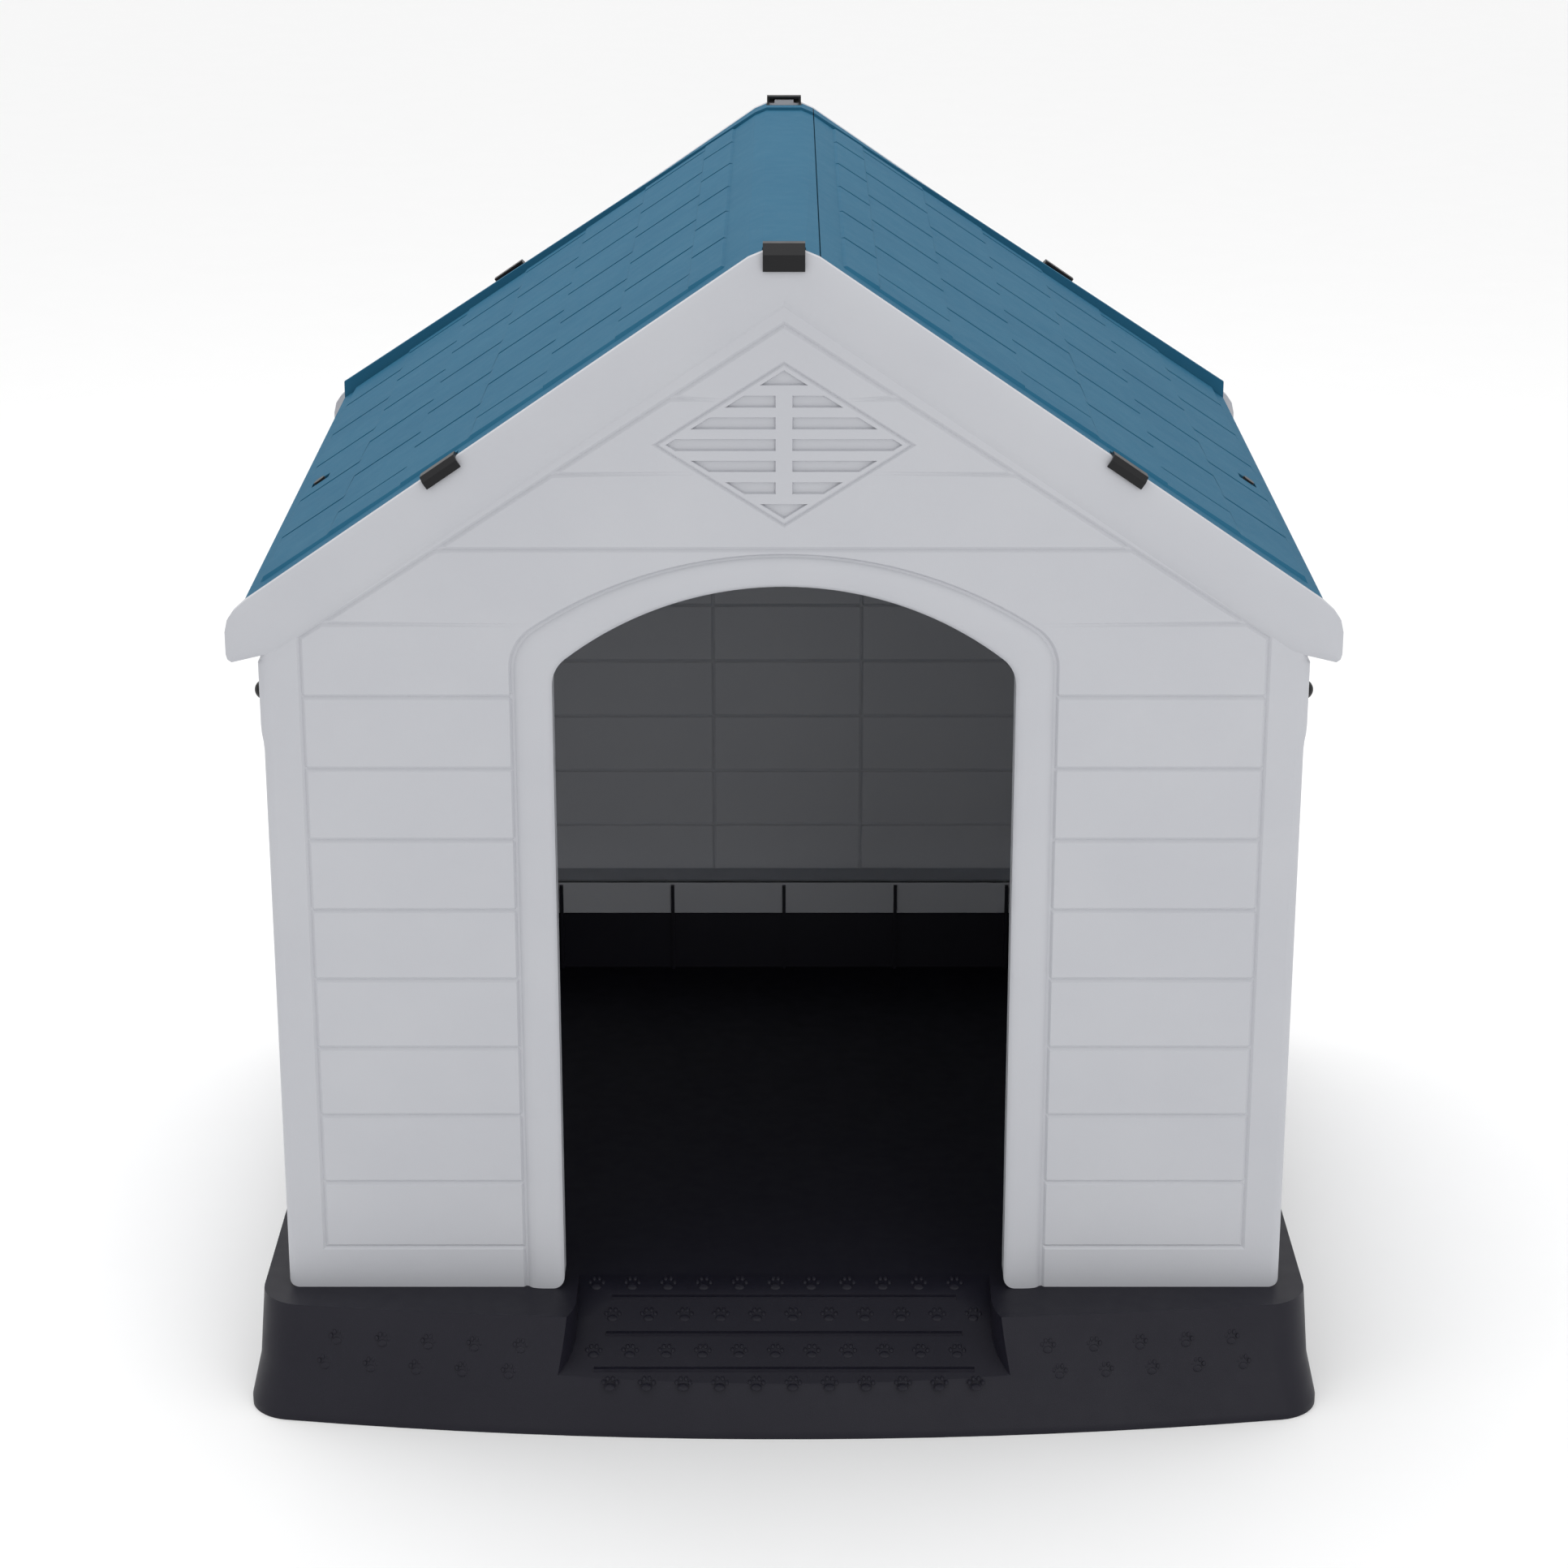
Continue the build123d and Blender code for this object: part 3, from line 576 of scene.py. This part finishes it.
def vent_slots():
    """Clockwise outlines of the vent's recesses, those beside the mullion for its right side."""
    def end(rise):
        return VENT_HALF * (1 - abs(rise) / VENT_HIGH) - SLOT_MARGIN

    slots = []
    for row in SLOT_ROWS:
        low, high = SLOT_PITCH * row - SLOT_HALF, SLOT_PITCH * row + SLOT_HALF
        tip = [(end(0), VENT_Z)] if row == 0 else []
        slots.append([(MULLION_HALF, VENT_Z + low), (MULLION_HALF, VENT_Z + high),
                      (end(high), VENT_Z + high), *tip, (end(low), VENT_Z + low)])
    half, peak = end(TIP_RISE), VENT_HIGH - SLOT_MARGIN * VENT_HIGH / VENT_HALF
    slots.append([(-half, VENT_Z + TIP_RISE), (0, VENT_Z + peak), (half, VENT_Z + TIP_RISE)])
    slots.append([(-half, VENT_Z - TIP_RISE), (half, VENT_Z - TIP_RISE), (0, VENT_Z - peak)])
    return slots


VENT_SLOTS = vent_slots()


def vent_height(x, z):
    """Height of the vent and its ring, or None outside them."""
    outward = -edge_distance(DIAMOND, x, z)
    if outward > VENT_RING[-1][0]:
        return None
    depth = max(edge_distance(slot, abs(x), z) for slot in VENT_SLOTS)
    sunk = min(max(depth / SLOT_SLOPE, 0), 1) * SLOT_DEPTH
    return curve(VENT_RING, outward) - sunk


def wall_height(x, z, with_door):
    """Height of a gable wall's outer face: door frame, vent, or boards and pads."""
    if with_door:
        share = arch_share(x, z)
        if share <= FRAME_PROFILE[-1][0]:
            return curve(FRAME_PROFILE, share)
    vent = vent_height(x, z)
    height = board_height(FIELD, x, z) if vent is None else vent
    pad = curve(PAD_STEPS, z) * curve(PAD_SIDES, abs(x))
    return height + (PAD_PROUD - BOARD_PROUD) * pad


def foot_arc(start, width):
    """Rounded foot of a wall, from its lowest point at start to its side at start + width."""
    angles = [math.pi / 2 * i / FOOT_STEPS for i in range(FOOT_STEPS + 1)]
    return [(start + width * math.sin(a), DECK_Z + FOOT_R * (1 - math.cos(a))) for a in angles]


def foot_z(u, start, width):
    """Height of that rounded foot at u."""
    share = min(max((u - start) / width, 0), 1)
    return DECK_Z + FOOT_R * (1 - math.sqrt(1 - share ** 2))


def in_doorway(x, z):
    half = DOOR_OPENING[0]
    in_foot = abs(x) < half + FOOT_R and z < foot_z(-abs(x), -half - FOOT_R, FOOT_R)
    return in_foot or in_arch(x, z, 0)


def wall_low(u):
    return foot_z(abs(u), FOOT_START, FOOT_WIDTH)


def wall_top(u):
    return WALL_TOP if abs(u) > SHEET_KNEE else gable_z(u, SHEET_INSET)


def outline_guides():
    """The sheet's own outline, its rounded corners and the steps of its pads."""
    rake = [(x, gable_z(x, SHEET_INSET)) for x in (-SHEET_KNEE, -KNEE_X, 0, KNEE_X, SHEET_KNEE)]
    guides = [closed([(-WALL_REACH, DECK_Z), (-WALL_REACH, WALL_TOP), (-SHEET_KNEE, WALL_TOP), *rake,
                      (SHEET_KNEE, WALL_TOP), (WALL_REACH, WALL_TOP), (WALL_REACH, DECK_Z)])]
    for side in (-1, 1):
        for step in range(CORNER_STEPS + 1):
            u = side * (FLAT_HALF + WRAP * step / CORNER_STEPS)
            guides.append([(u, DECK_Z), (u, WALL_TOP)])
        guides += [[(side * FLAT_HALF, z), (side * WALL_REACH, z)] for z, _ in PAD_STEPS]
    return guides


def board_guides():
    guides = []
    for spread in (-GROOVE_HALF, 0, GROOVE_HALF):
        guides.append(closed(moved_in(FIELD, spread)))
        for z in board_lines(spread):
            rise = (FIELD_APEX - z) * FIELD_HALF / (FIELD_APEX - FIELD_SIDE_TOP)
            half = min(FIELD_HALF, rise)
            guides.append([(-half, z), (half, z)])
    return guides


def vent_guides():
    guides = [closed(moved_in(DIAMOND, -out)) for out, _ in VENT_RING]
    for slot in VENT_SLOTS:
        for inset in (0, SLOT_SLOPE):
            ring = closed(moved_in(slot, inset))
            guides += [ring, mirrored(ring)]
    return guides


def wall_guides(with_door):
    guides = outline_guides() + board_guides() + vent_guides()
    feet = [foot_arc(FOOT_START, FOOT_WIDTH) + [(WALL_REACH, DECK_Z + FOOT_R)]]
    if with_door:
        guides += [arch_line(share) for share, _ in FRAME_PROFILE]
        feet.append([(-u, z) for u, z in foot_arc(-DOOR_OPENING[0] - FOOT_R, FOOT_R)])
    for foot in feet:
        guides += [foot, mirrored(foot)]
    return guides


def inner_lines_height(x, z):
    """Height of the back wall's inner face, with its raised level and upright lines."""
    if z <= LINE_LOW or abs(x) >= LINE_REACH:
        return -SKIN
    levels = [abs(z - line) for line in LINE_LEVELS]
    uprights = [abs(x - line) for line in LINE_UPRIGHTS]
    return -SKIN - LINE_PROUD * max(1 - min(levels + uprights) / LINE_HALF, 0)


def inner_guides():
    guides = []
    for spread in (-LINE_HALF, 0, LINE_HALF):
        guides += [[(-LINE_REACH, z + spread), (LINE_REACH, z + spread)] for z in LINE_LEVELS]
        guides += [[(x + spread, LINE_LOW), (x + spread, LINE_HIGH)] for x in LINE_UPRIGHTS]
    return guides


def wall_sheet(name, place, with_door, node):
    """A gable wall. Its inner face is sunk behind the vent, so that the slots keep a floor."""
    def inside(u, z):
        in_sheet = abs(u) < WALL_REACH and wall_low(u) < z < wall_top(u)
        return in_sheet and not (with_door and in_doorway(u, z))

    def outer(u, z):
        return wall_height(u, z, with_door)

    def inner(u, z):
        height = -SKIN if with_door else inner_lines_height(u, z)
        behind_vent = abs(u) < VENT_HALF and abs(z - VENT_Z) < VENT_HIGH
        return height - SLOT_DEPTH if behind_vent else height

    guides = wall_guides(with_door)
    if not with_door:
        guides += inner_guides()
    bm = bmesh.new()
    relief(bm, guides, inside, outer, inner, place)
    make_object(name, bm, "shell", WALL, replaces=(node,))


def fascia_half():
    """Clockwise outline of the fascia's right half. Its last edge is the middle line."""
    upper = [(0, APEX_Z), (SHOULDER_X, APEX_Z), (KNEE_X, KNEE_Z), (EAVE_X, gable_z(EAVE_X))]
    low = [(0, gable_z(KNEE_X, FASCIA_WIDTH) + KNEE_X * RAKE_SLOPE)]
    return upper + list(FASCIA_END) + low


def fascia(name, place):
    """Board under a gable's rim, rounded towards its edges."""
    half = fascia_half()
    middle = (len(half) - 1,)
    guides = []
    for inset, _ in FASCIA_PROFILE:
        ring = moved_in(half, inset, middle)
        guides += [ring, mirrored(ring)]

    def distance(x, z):
        return edge_distance(half, abs(x), z, middle)

    def inside(x, z):
        return distance(x, z) > 0

    def outer(x, z):
        return curve(FASCIA_PROFILE, distance(x, z))

    bm = bmesh.new()
    relief(bm, guides, inside, outer, level(-FASCIA_BACK), place)
    make_object(name, bm, "shell", WALL)


def gable_path(inset, y, place):
    """Line along the gable outline, moved inwards by inset, from one wall corner to the other."""
    bend = KNEE_X - inset * KNEE_SHIFT
    marks = (-WALL_HALF, -bend, -bend / 2, bend / 2, bend, WALL_HALF)
    return [place(x, y, gable_z(x, inset)) for x in marks]


def clip_spot(x):
    """Placing in a front clip's own frame, from its pivot on the rim at x."""
    lean = math.copysign(RAKE_ANGLE, x) if x else 0.0
    drop = PIVOT_INSET * math.cos(lean)
    pivot = Vector((x - PIVOT_INSET * math.sin(lean), CLIP_Y, gable_z(x) - drop))
    turn = Matrix.Rotation(lean, 3, "Y")

    def place(u, v, w):
        return point(*(pivot + turn @ Vector((u, v, w))))
    return place


def gable_fittings(name, turn, clip_x, side_boss, extras):
    """Ledge for the roof, the clips' bosses and further boxes of one gable end. turn places them."""
    bm = bmesh.new()
    place = turn(point)
    section = rectangle((LEDGE_INSET, LEDGE_INSET + SKIN), (LEDGE_NEAR, LEDGE_DEPTH))
    sweep(bm, [gable_path(inset, y, place) for inset, y in section])
    for x in (-clip_x, 0, clip_x):
        top = side_boss if x else APEX_BOSS
        block(bm, (-BOSS_HALF, BOSS_HALF), BOSS_REACH, (BOSS_LOW, top), turn(clip_spot(x)))
    for limits in extras:
        block(bm, *limits, place)
    make_object(name, bm, "shell", WALL, bevel=0.8)


def tongues(places):
    """Boxes of the tongues that drop into the deck's slots."""
    z = (DECK_Z - TONGUE_DROP, DECK_Z + SKIN)
    return [((x - TONGUE_HALF, x + TONGUE_HALF), TONGUE_REACH, z) for x in places]


def sill(x):
    """Box of the strip inside a gable wall's foot, between two limits along x."""
    return x, (UNDER_FACE, JAMB_DEPTH), (DECK_Z, DECK_Z + SKIN)


def shelf():
    """Boxes of the shelf along the back wall: its top and its front."""
    x = (-SHELF_HALF, SHELF_HALF)
    return [(x, (UNDER_FACE, SHELF_DEPTH), (SHELF_TOP - SKIN, SHELF_TOP)),
            (x, (SHELF_DEPTH - SKIN, SHELF_DEPTH), (SHELF_LOW, SHELF_TOP))]


def door_jamb():
    """Inner faces of the doorway, which stand over its rounded feet."""
    lines = []
    for share, y in rectangle((0, JAMB_SHARE), (0, JAMB_DEPTH)):
        lines.append([point(x, y, max(z, DECK_Z + FOOT_R)) for x, z in arch_line(share)])
    bm = bmesh.new()
    sweep(bm, lines)
    make_object("door_jamb", bm, "shell", WALL, bevel=0.6)


def front_end():
    wall_sheet("front_wall_sheet", front_place, True, "front_panel")
    fascia("front_fascia", flat_place)
    sills = [sill(on_side(side, SILL_NEAR_X, SILL_FAR_X)) for side in (-1, 1)]
    extras = tongues(FRONT_TONGUES) + sills
    gable_fittings("front_fittings", at_front, FRONT_CLIP_X, SLIM_BOSS, extras)
    door_jamb()


def back_end():
    wall_sheet("back_wall_sheet", at_back(front_place), False, "back_panel")
    fascia("back_fascia", at_back(flat_place))
    extras = tongues(BACK_TONGUES) + shelf() + [sill((-SILL_FAR_X, SILL_FAR_X))]
    gable_fittings("back_fittings", at_back, BACK_CLIP_X, APEX_BOSS, extras)


# Side walls


def side_sheet(side, name, node):
    """A side wall with its boards, between the flanges of the gable walls."""
    low_y, high_y = SIDE_GAP, BACK_Y - SIDE_GAP
    field_y = (low_y + SIDE_FIELD_INSET, high_y - SIDE_FIELD_INSET)
    field = rectangle(field_y, (FIELD_LOW, SIDE_FIELD_TOP))

    def outer(y, z):
        return board_height(field, y, z) * curve(SIDE_FADE, min(y, BACK_Y - y))

    def place(y, z, out):
        return point(side * (SIDE_OUT + out), y, z)

    near, far = (reach for reach, _ in SIDE_FADE)
    guides = [closed(rectangle((low_y, high_y), (DECK_Z, WALL_TOP)))]
    guides += [[(y, DECK_Z), (y, WALL_TOP)] for y in (near, far, BACK_Y - far, BACK_Y - near)]
    for spread in (-GROOVE_HALF, 0, GROOVE_HALF):
        guides.append(closed(moved_in(field, spread)))
        levels = [z for z in board_lines(spread) if z < SIDE_FIELD_TOP]
        guides += [[(y, z) for y in field_y] for z in levels]
    bm = bmesh.new()
    relief(bm, guides, level(True), outer, level(-SKIN), place)
    make_object(name, bm, "shell", WALL, replaces=(node,))


def side_fittings(side, name):
    """The lip along the top of a side wall, and the wall's ribs and tongues."""
    middle = BACK_Y / 2
    face_x = SIDE_OUT - UNDER_FACE
    bm = bmesh.new()
    lip_y = (LIP_END, BACK_Y - LIP_END)
    block(bm, on_side(side, LIP_NEAR_X, face_x), lip_y, (WALL_TOP - SKIN, WALL_TOP))
    for y in (middle - RIB_PITCH, middle, middle + RIB_PITCH):
        block(bm, on_side(side, RIB_NEAR_X, face_x), (y - RIB_HALF, y + RIB_HALF),
              (RIB_LOW, WALL_TOP - UNDER_FACE))
        block(bm, on_side(side, SIDE_OUT - SKIN, SIDE_OUT), (y - TONGUE_HALF, y + TONGUE_HALF),
              (DECK_Z - TONGUE_DROP, DECK_Z + TONGUE_LAP))
    make_object(f"{name}_fittings", bm, "shell", WALL, bevel=0.6)


def side_panel(side, name, node):
    side_sheet(side, name, node)
    side_fittings(side, name)


# Roof


def joint_places(course):
    """Where the shingles of a course end. Every other course is shifted by half a shingle."""
    start = JOINT_START + (JOINT_PITCH / 2 if course % 2 else 0)
    count = int((SHINGLE_BACK - start) / JOINT_PITCH) + 1
    places = [start + JOINT_PITCH * i for i in range(count)]
    return [y for y in places if y > SHINGLE_FRONT + JOINT_CLEAR]


def shingle_height(x, y):
    """Each course rises to its lower edge, and each shingle to its front end, past a groove."""
    x = abs(x)
    course = max((i for i, edge in enumerate(COURSE_EDGES[:-1]) if x <= edge), default=0)
    low_edge, high_edge = COURSE_EDGES[course], COURSE_EDGES[course + 1]
    share = (x - high_edge) / (low_edge - high_edge)
    height = SHINGLE_PROUD - COURSE_LAP * (1 - share)
    joints = joint_places(course)
    start = max((joint for joint in joints if joint <= y), default=SHINGLE_FRONT)
    end = min((joint for joint in joints if joint > y), default=math.inf)
    height -= JOINT_FALL * min((y - start) / JOINT_PITCH, 1)
    ends = min(low_edge - x, x - high_edge)
    groove = max(1 - (end - y) / JOINT_GROOVE, 0) * min(max(ends / EDGE_RUN, 0), 1)
    border = min(y - SHINGLE_FRONT, SHINGLE_BACK - y, COURSE_EAVE - x, x - COURSE_RIDGE)
    return (height - JOINT_DEPTH * groove) * min(max(border / EDGE_RUN, 0), 1)


def shingle_guides(side):
    """Lines along the courses' edges and across their joints, and the outline of the peg's room."""
    along = (SHINGLE_FRONT, SHINGLE_BACK)
    guides = [closed(rectangle((side * COURSE_RIDGE, side * COURSE_EAVE), along))]
    for y in (SHINGLE_FRONT + EDGE_RUN, SHINGLE_BACK - EDGE_RUN):
        guides.append([(side * COURSE_RIDGE, y), (side * COURSE_EAVE, y)])
    for edge in COURSE_EDGES:
        for x in (edge - EDGE_RUN, edge - STEP_RUN, edge, edge + EDGE_RUN):
            if COURSE_RIDGE <= x <= COURSE_EAVE:
                guides.append([(side * x, y) for y in along])
    for course in range(COURSE_COUNT):
        for joint in joint_places(course):
            for y in (joint - JOINT_GROOVE, joint - JOINT_STEP, joint):
                guides.append([(side * x, y) for x in COURSE_EDGES[course:course + 2]])
    guides.append(closed(rectangle((side * PEG_NEAR_X, side * PEG_FAR_X), (PEG_LOW_Y, PEG_HIGH_Y))))
    return guides


def shingles(side, name):
    def inside(x, y):
        in_peg_room = PEG_NEAR_X < abs(x) < PEG_FAR_X and PEG_LOW_Y < y < PEG_HIGH_Y
        in_sheet = COURSE_RIDGE < abs(x) < COURSE_EAVE and SHINGLE_FRONT < y < SHINGLE_BACK
        return in_sheet and not in_peg_room

    def place(x, y, out):
        return point(x, y, gable_z(x, -out))

    bm = bmesh.new()
    relief(bm, shingle_guides(side), inside, shingle_height, level(-SHINGLE_SUNK), place)
    make_object(name, bm, "roof", ROOF, sharp=18)


# Base details


def dome(bm, centre, across, along, out, radii, height):
    """Low oval bump, closed underneath."""
    rows = []
    for scale, rise in DOME_RINGS:
        row = []
        for i in range(DOME_STEPS):
            angle = 2 * math.pi * i / DOME_STEPS
            u, v = radii[0] * scale * math.cos(angle), radii[1] * scale * math.sin(angle)
            offset = across * u + along * v
            row.append(bm.verts.new(centre + offset + out * (height * rise)))
        rows.append(row)
    for a, b in zip(rows, rows[1:]):
        for i in range(DOME_STEPS):
            j = (i + 1) % DOME_STEPS
            bm.faces.new((a[i], a[j], b[j], b[i]))
    bm.faces.new(rows[-1])
    bm.faces.new(rows[0][::-1])


def paw(bm, centre, along, out, size, height):
    """Paw print: one pad and four toes."""
    across = Vector((1, 0, 0))
    size, height = size * MM, height * MM
    pad = [share * size for share in PAW_PAD]
    toe = [share * size for share in PAW_TOE]
    dome(bm, centre - along * (PAW_PAD_DROP * size), across, along, out, pad, height)
    for u, v in PAW_TOES:
        dome(bm, centre + across * (u * size) + along * (v * size), across, along, out, toe, height)


def ramp_paws(bm):
    """Rows of raised prints on the ramp."""
    tilt = math.atan(RAMP_SLOPE)
    out = Vector((0, -math.sin(tilt), math.cos(tilt)))
    along = Vector((0, math.cos(tilt), math.sin(tilt)))
    for row, share in enumerate(RAMP_ROWS):
        y = RAMP_TOP_Y - share * RAMP_RUN
        z = DECK_Z - RAMP_SLOPE * (RAMP_TOP_Y - y)
        stagger = RAMP_STAGGER if row % 2 else -RAMP_STAGGER
        for i in range(RAMP_PAWS):
            x = -RAMP_REACH + 2 * RAMP_REACH * i / (RAMP_PAWS - 1) + stagger
            paw(bm, point(x, y, z), along, out, RAMP_PAW_SIZE, RAMP_PAW_PROUD)


def plinth_paws(bm):
    """Rows of raised prints on the plinth's bowed front, each side of the ramp."""
    out = Vector((0, -math.cos(PLINTH_LEAN), math.sin(PLINTH_LEAN)))
    along = Vector((0, math.sin(PLINTH_LEAN), math.cos(PLINTH_LEAN)))
    for z, shift in PLINTH_ROWS:
        share = z / DECK_Z
        for side in (-1, 1):
            for i in range(PLINTH_PAWS):
                x = side * (PLINTH_START + shift + PLINTH_PITCH * i)
                bow = (PLINTH_BOW - PLINTH_BOW_LOSS * share) * (1 - (x / PLINTH_HALF) ** 2)
                y = PLINTH_FOOT_Y + PLINTH_RISE_Y * share - bow
                paw(bm, point(x, y, z), along, out, PLINTH_PAW_SIZE, PLINTH_PAW_PROUD)


def paw_prints():
    bm = bmesh.new()
    ramp_paws(bm)
    plinth_paws(bm)
    make_object("base_paw_prints", bm, "shell", BASE, sharp=60)


# Studio


def white_floor():
    bm = bmesh.new()
    bmesh.ops.create_grid(bm, x_segments=1, y_segments=1, size=FLOOR_HALF)
    mesh = bpy.data.meshes.new("floor")
    bm.to_mesh(mesh)
    bm.free()
    floor = bpy.data.objects.new("floor", mesh)
    bpy.context.scene.collection.objects.link(floor)
    paint = plastic("floor_paint", (0.93, 0.93, 0.93), (0.92, 0.92, 0.92), roughness=0.8, grain=0.05)
    mesh.materials.append(paint)


def white_world():
    world = bpy.data.worlds.new("studio")
    world.use_nodes = True
    world.node_tree.nodes["Background"].inputs["Color"].default_value = (1, 1, 1, 1)
    world.node_tree.nodes["Background"].inputs["Strength"].default_value = 1.0
    bpy.context.scene.world = world


def area_light(name, where, aim, size, power):
    light = bpy.data.lights.new(name, "AREA")
    light.size = size
    light.energy = power
    lamp = bpy.data.objects.new(name, light)
    lamp.location = where
    lamp.rotation_euler = (Vector(aim) - Vector(where)).to_track_quat("-Z", "Y").to_euler()
    bpy.context.scene.collection.objects.link(lamp)


def add_camera():
    camera = bpy.data.cameras.new("camera")
    camera.lens = LENS
    camera.sensor_width = SENSOR_WIDTH
    eye = bpy.data.objects.new("camera", camera)
    eye.location = point(0, CAMERA_Y, CAMERA_Z)
    eye.rotation_euler = (math.radians(90 - CAMERA_PITCH), 0, 0)
    bpy.context.scene.collection.objects.link(eye)
    bpy.context.scene.camera = eye


def studio():
    """White floor and surroundings, a key light above and behind, and a fill from the front."""
    bpy.context.scene.view_settings.view_transform = "Standard"
    white_floor()
    white_world()
    for light in LIGHTS:
        area_light(*light)
    add_camera()


front_end()
back_end()
side_panel(-1, "left_side_wall", "left_side_panel")
side_panel(1, "right_side_wall", "right_side_panel")
softened("left_roof", "roof", ROOF, bevel=0.8)
softened("right_roof", "roof", ROOF, bevel=0.8)
shingles(-1, "left_roof_shingles")
shingles(1, "right_roof_shingles")
softened("base_tray", "shell", BASE, bevel=1.2)
paw_prints()
softened("roof_pegs", "roof", BLACK, bevel=0.6)
for fastener in ("corner_screws", "corner_nuts"):
    softened(fastener, "shell", BLACK, bevel=0.4)
for body, members in frame["record"]["behaviour"]["bodies"].items():
    for member in members:
        if member.startswith("clip"):
            softened(member, body, BLACK, bevel=0.5)
studio()
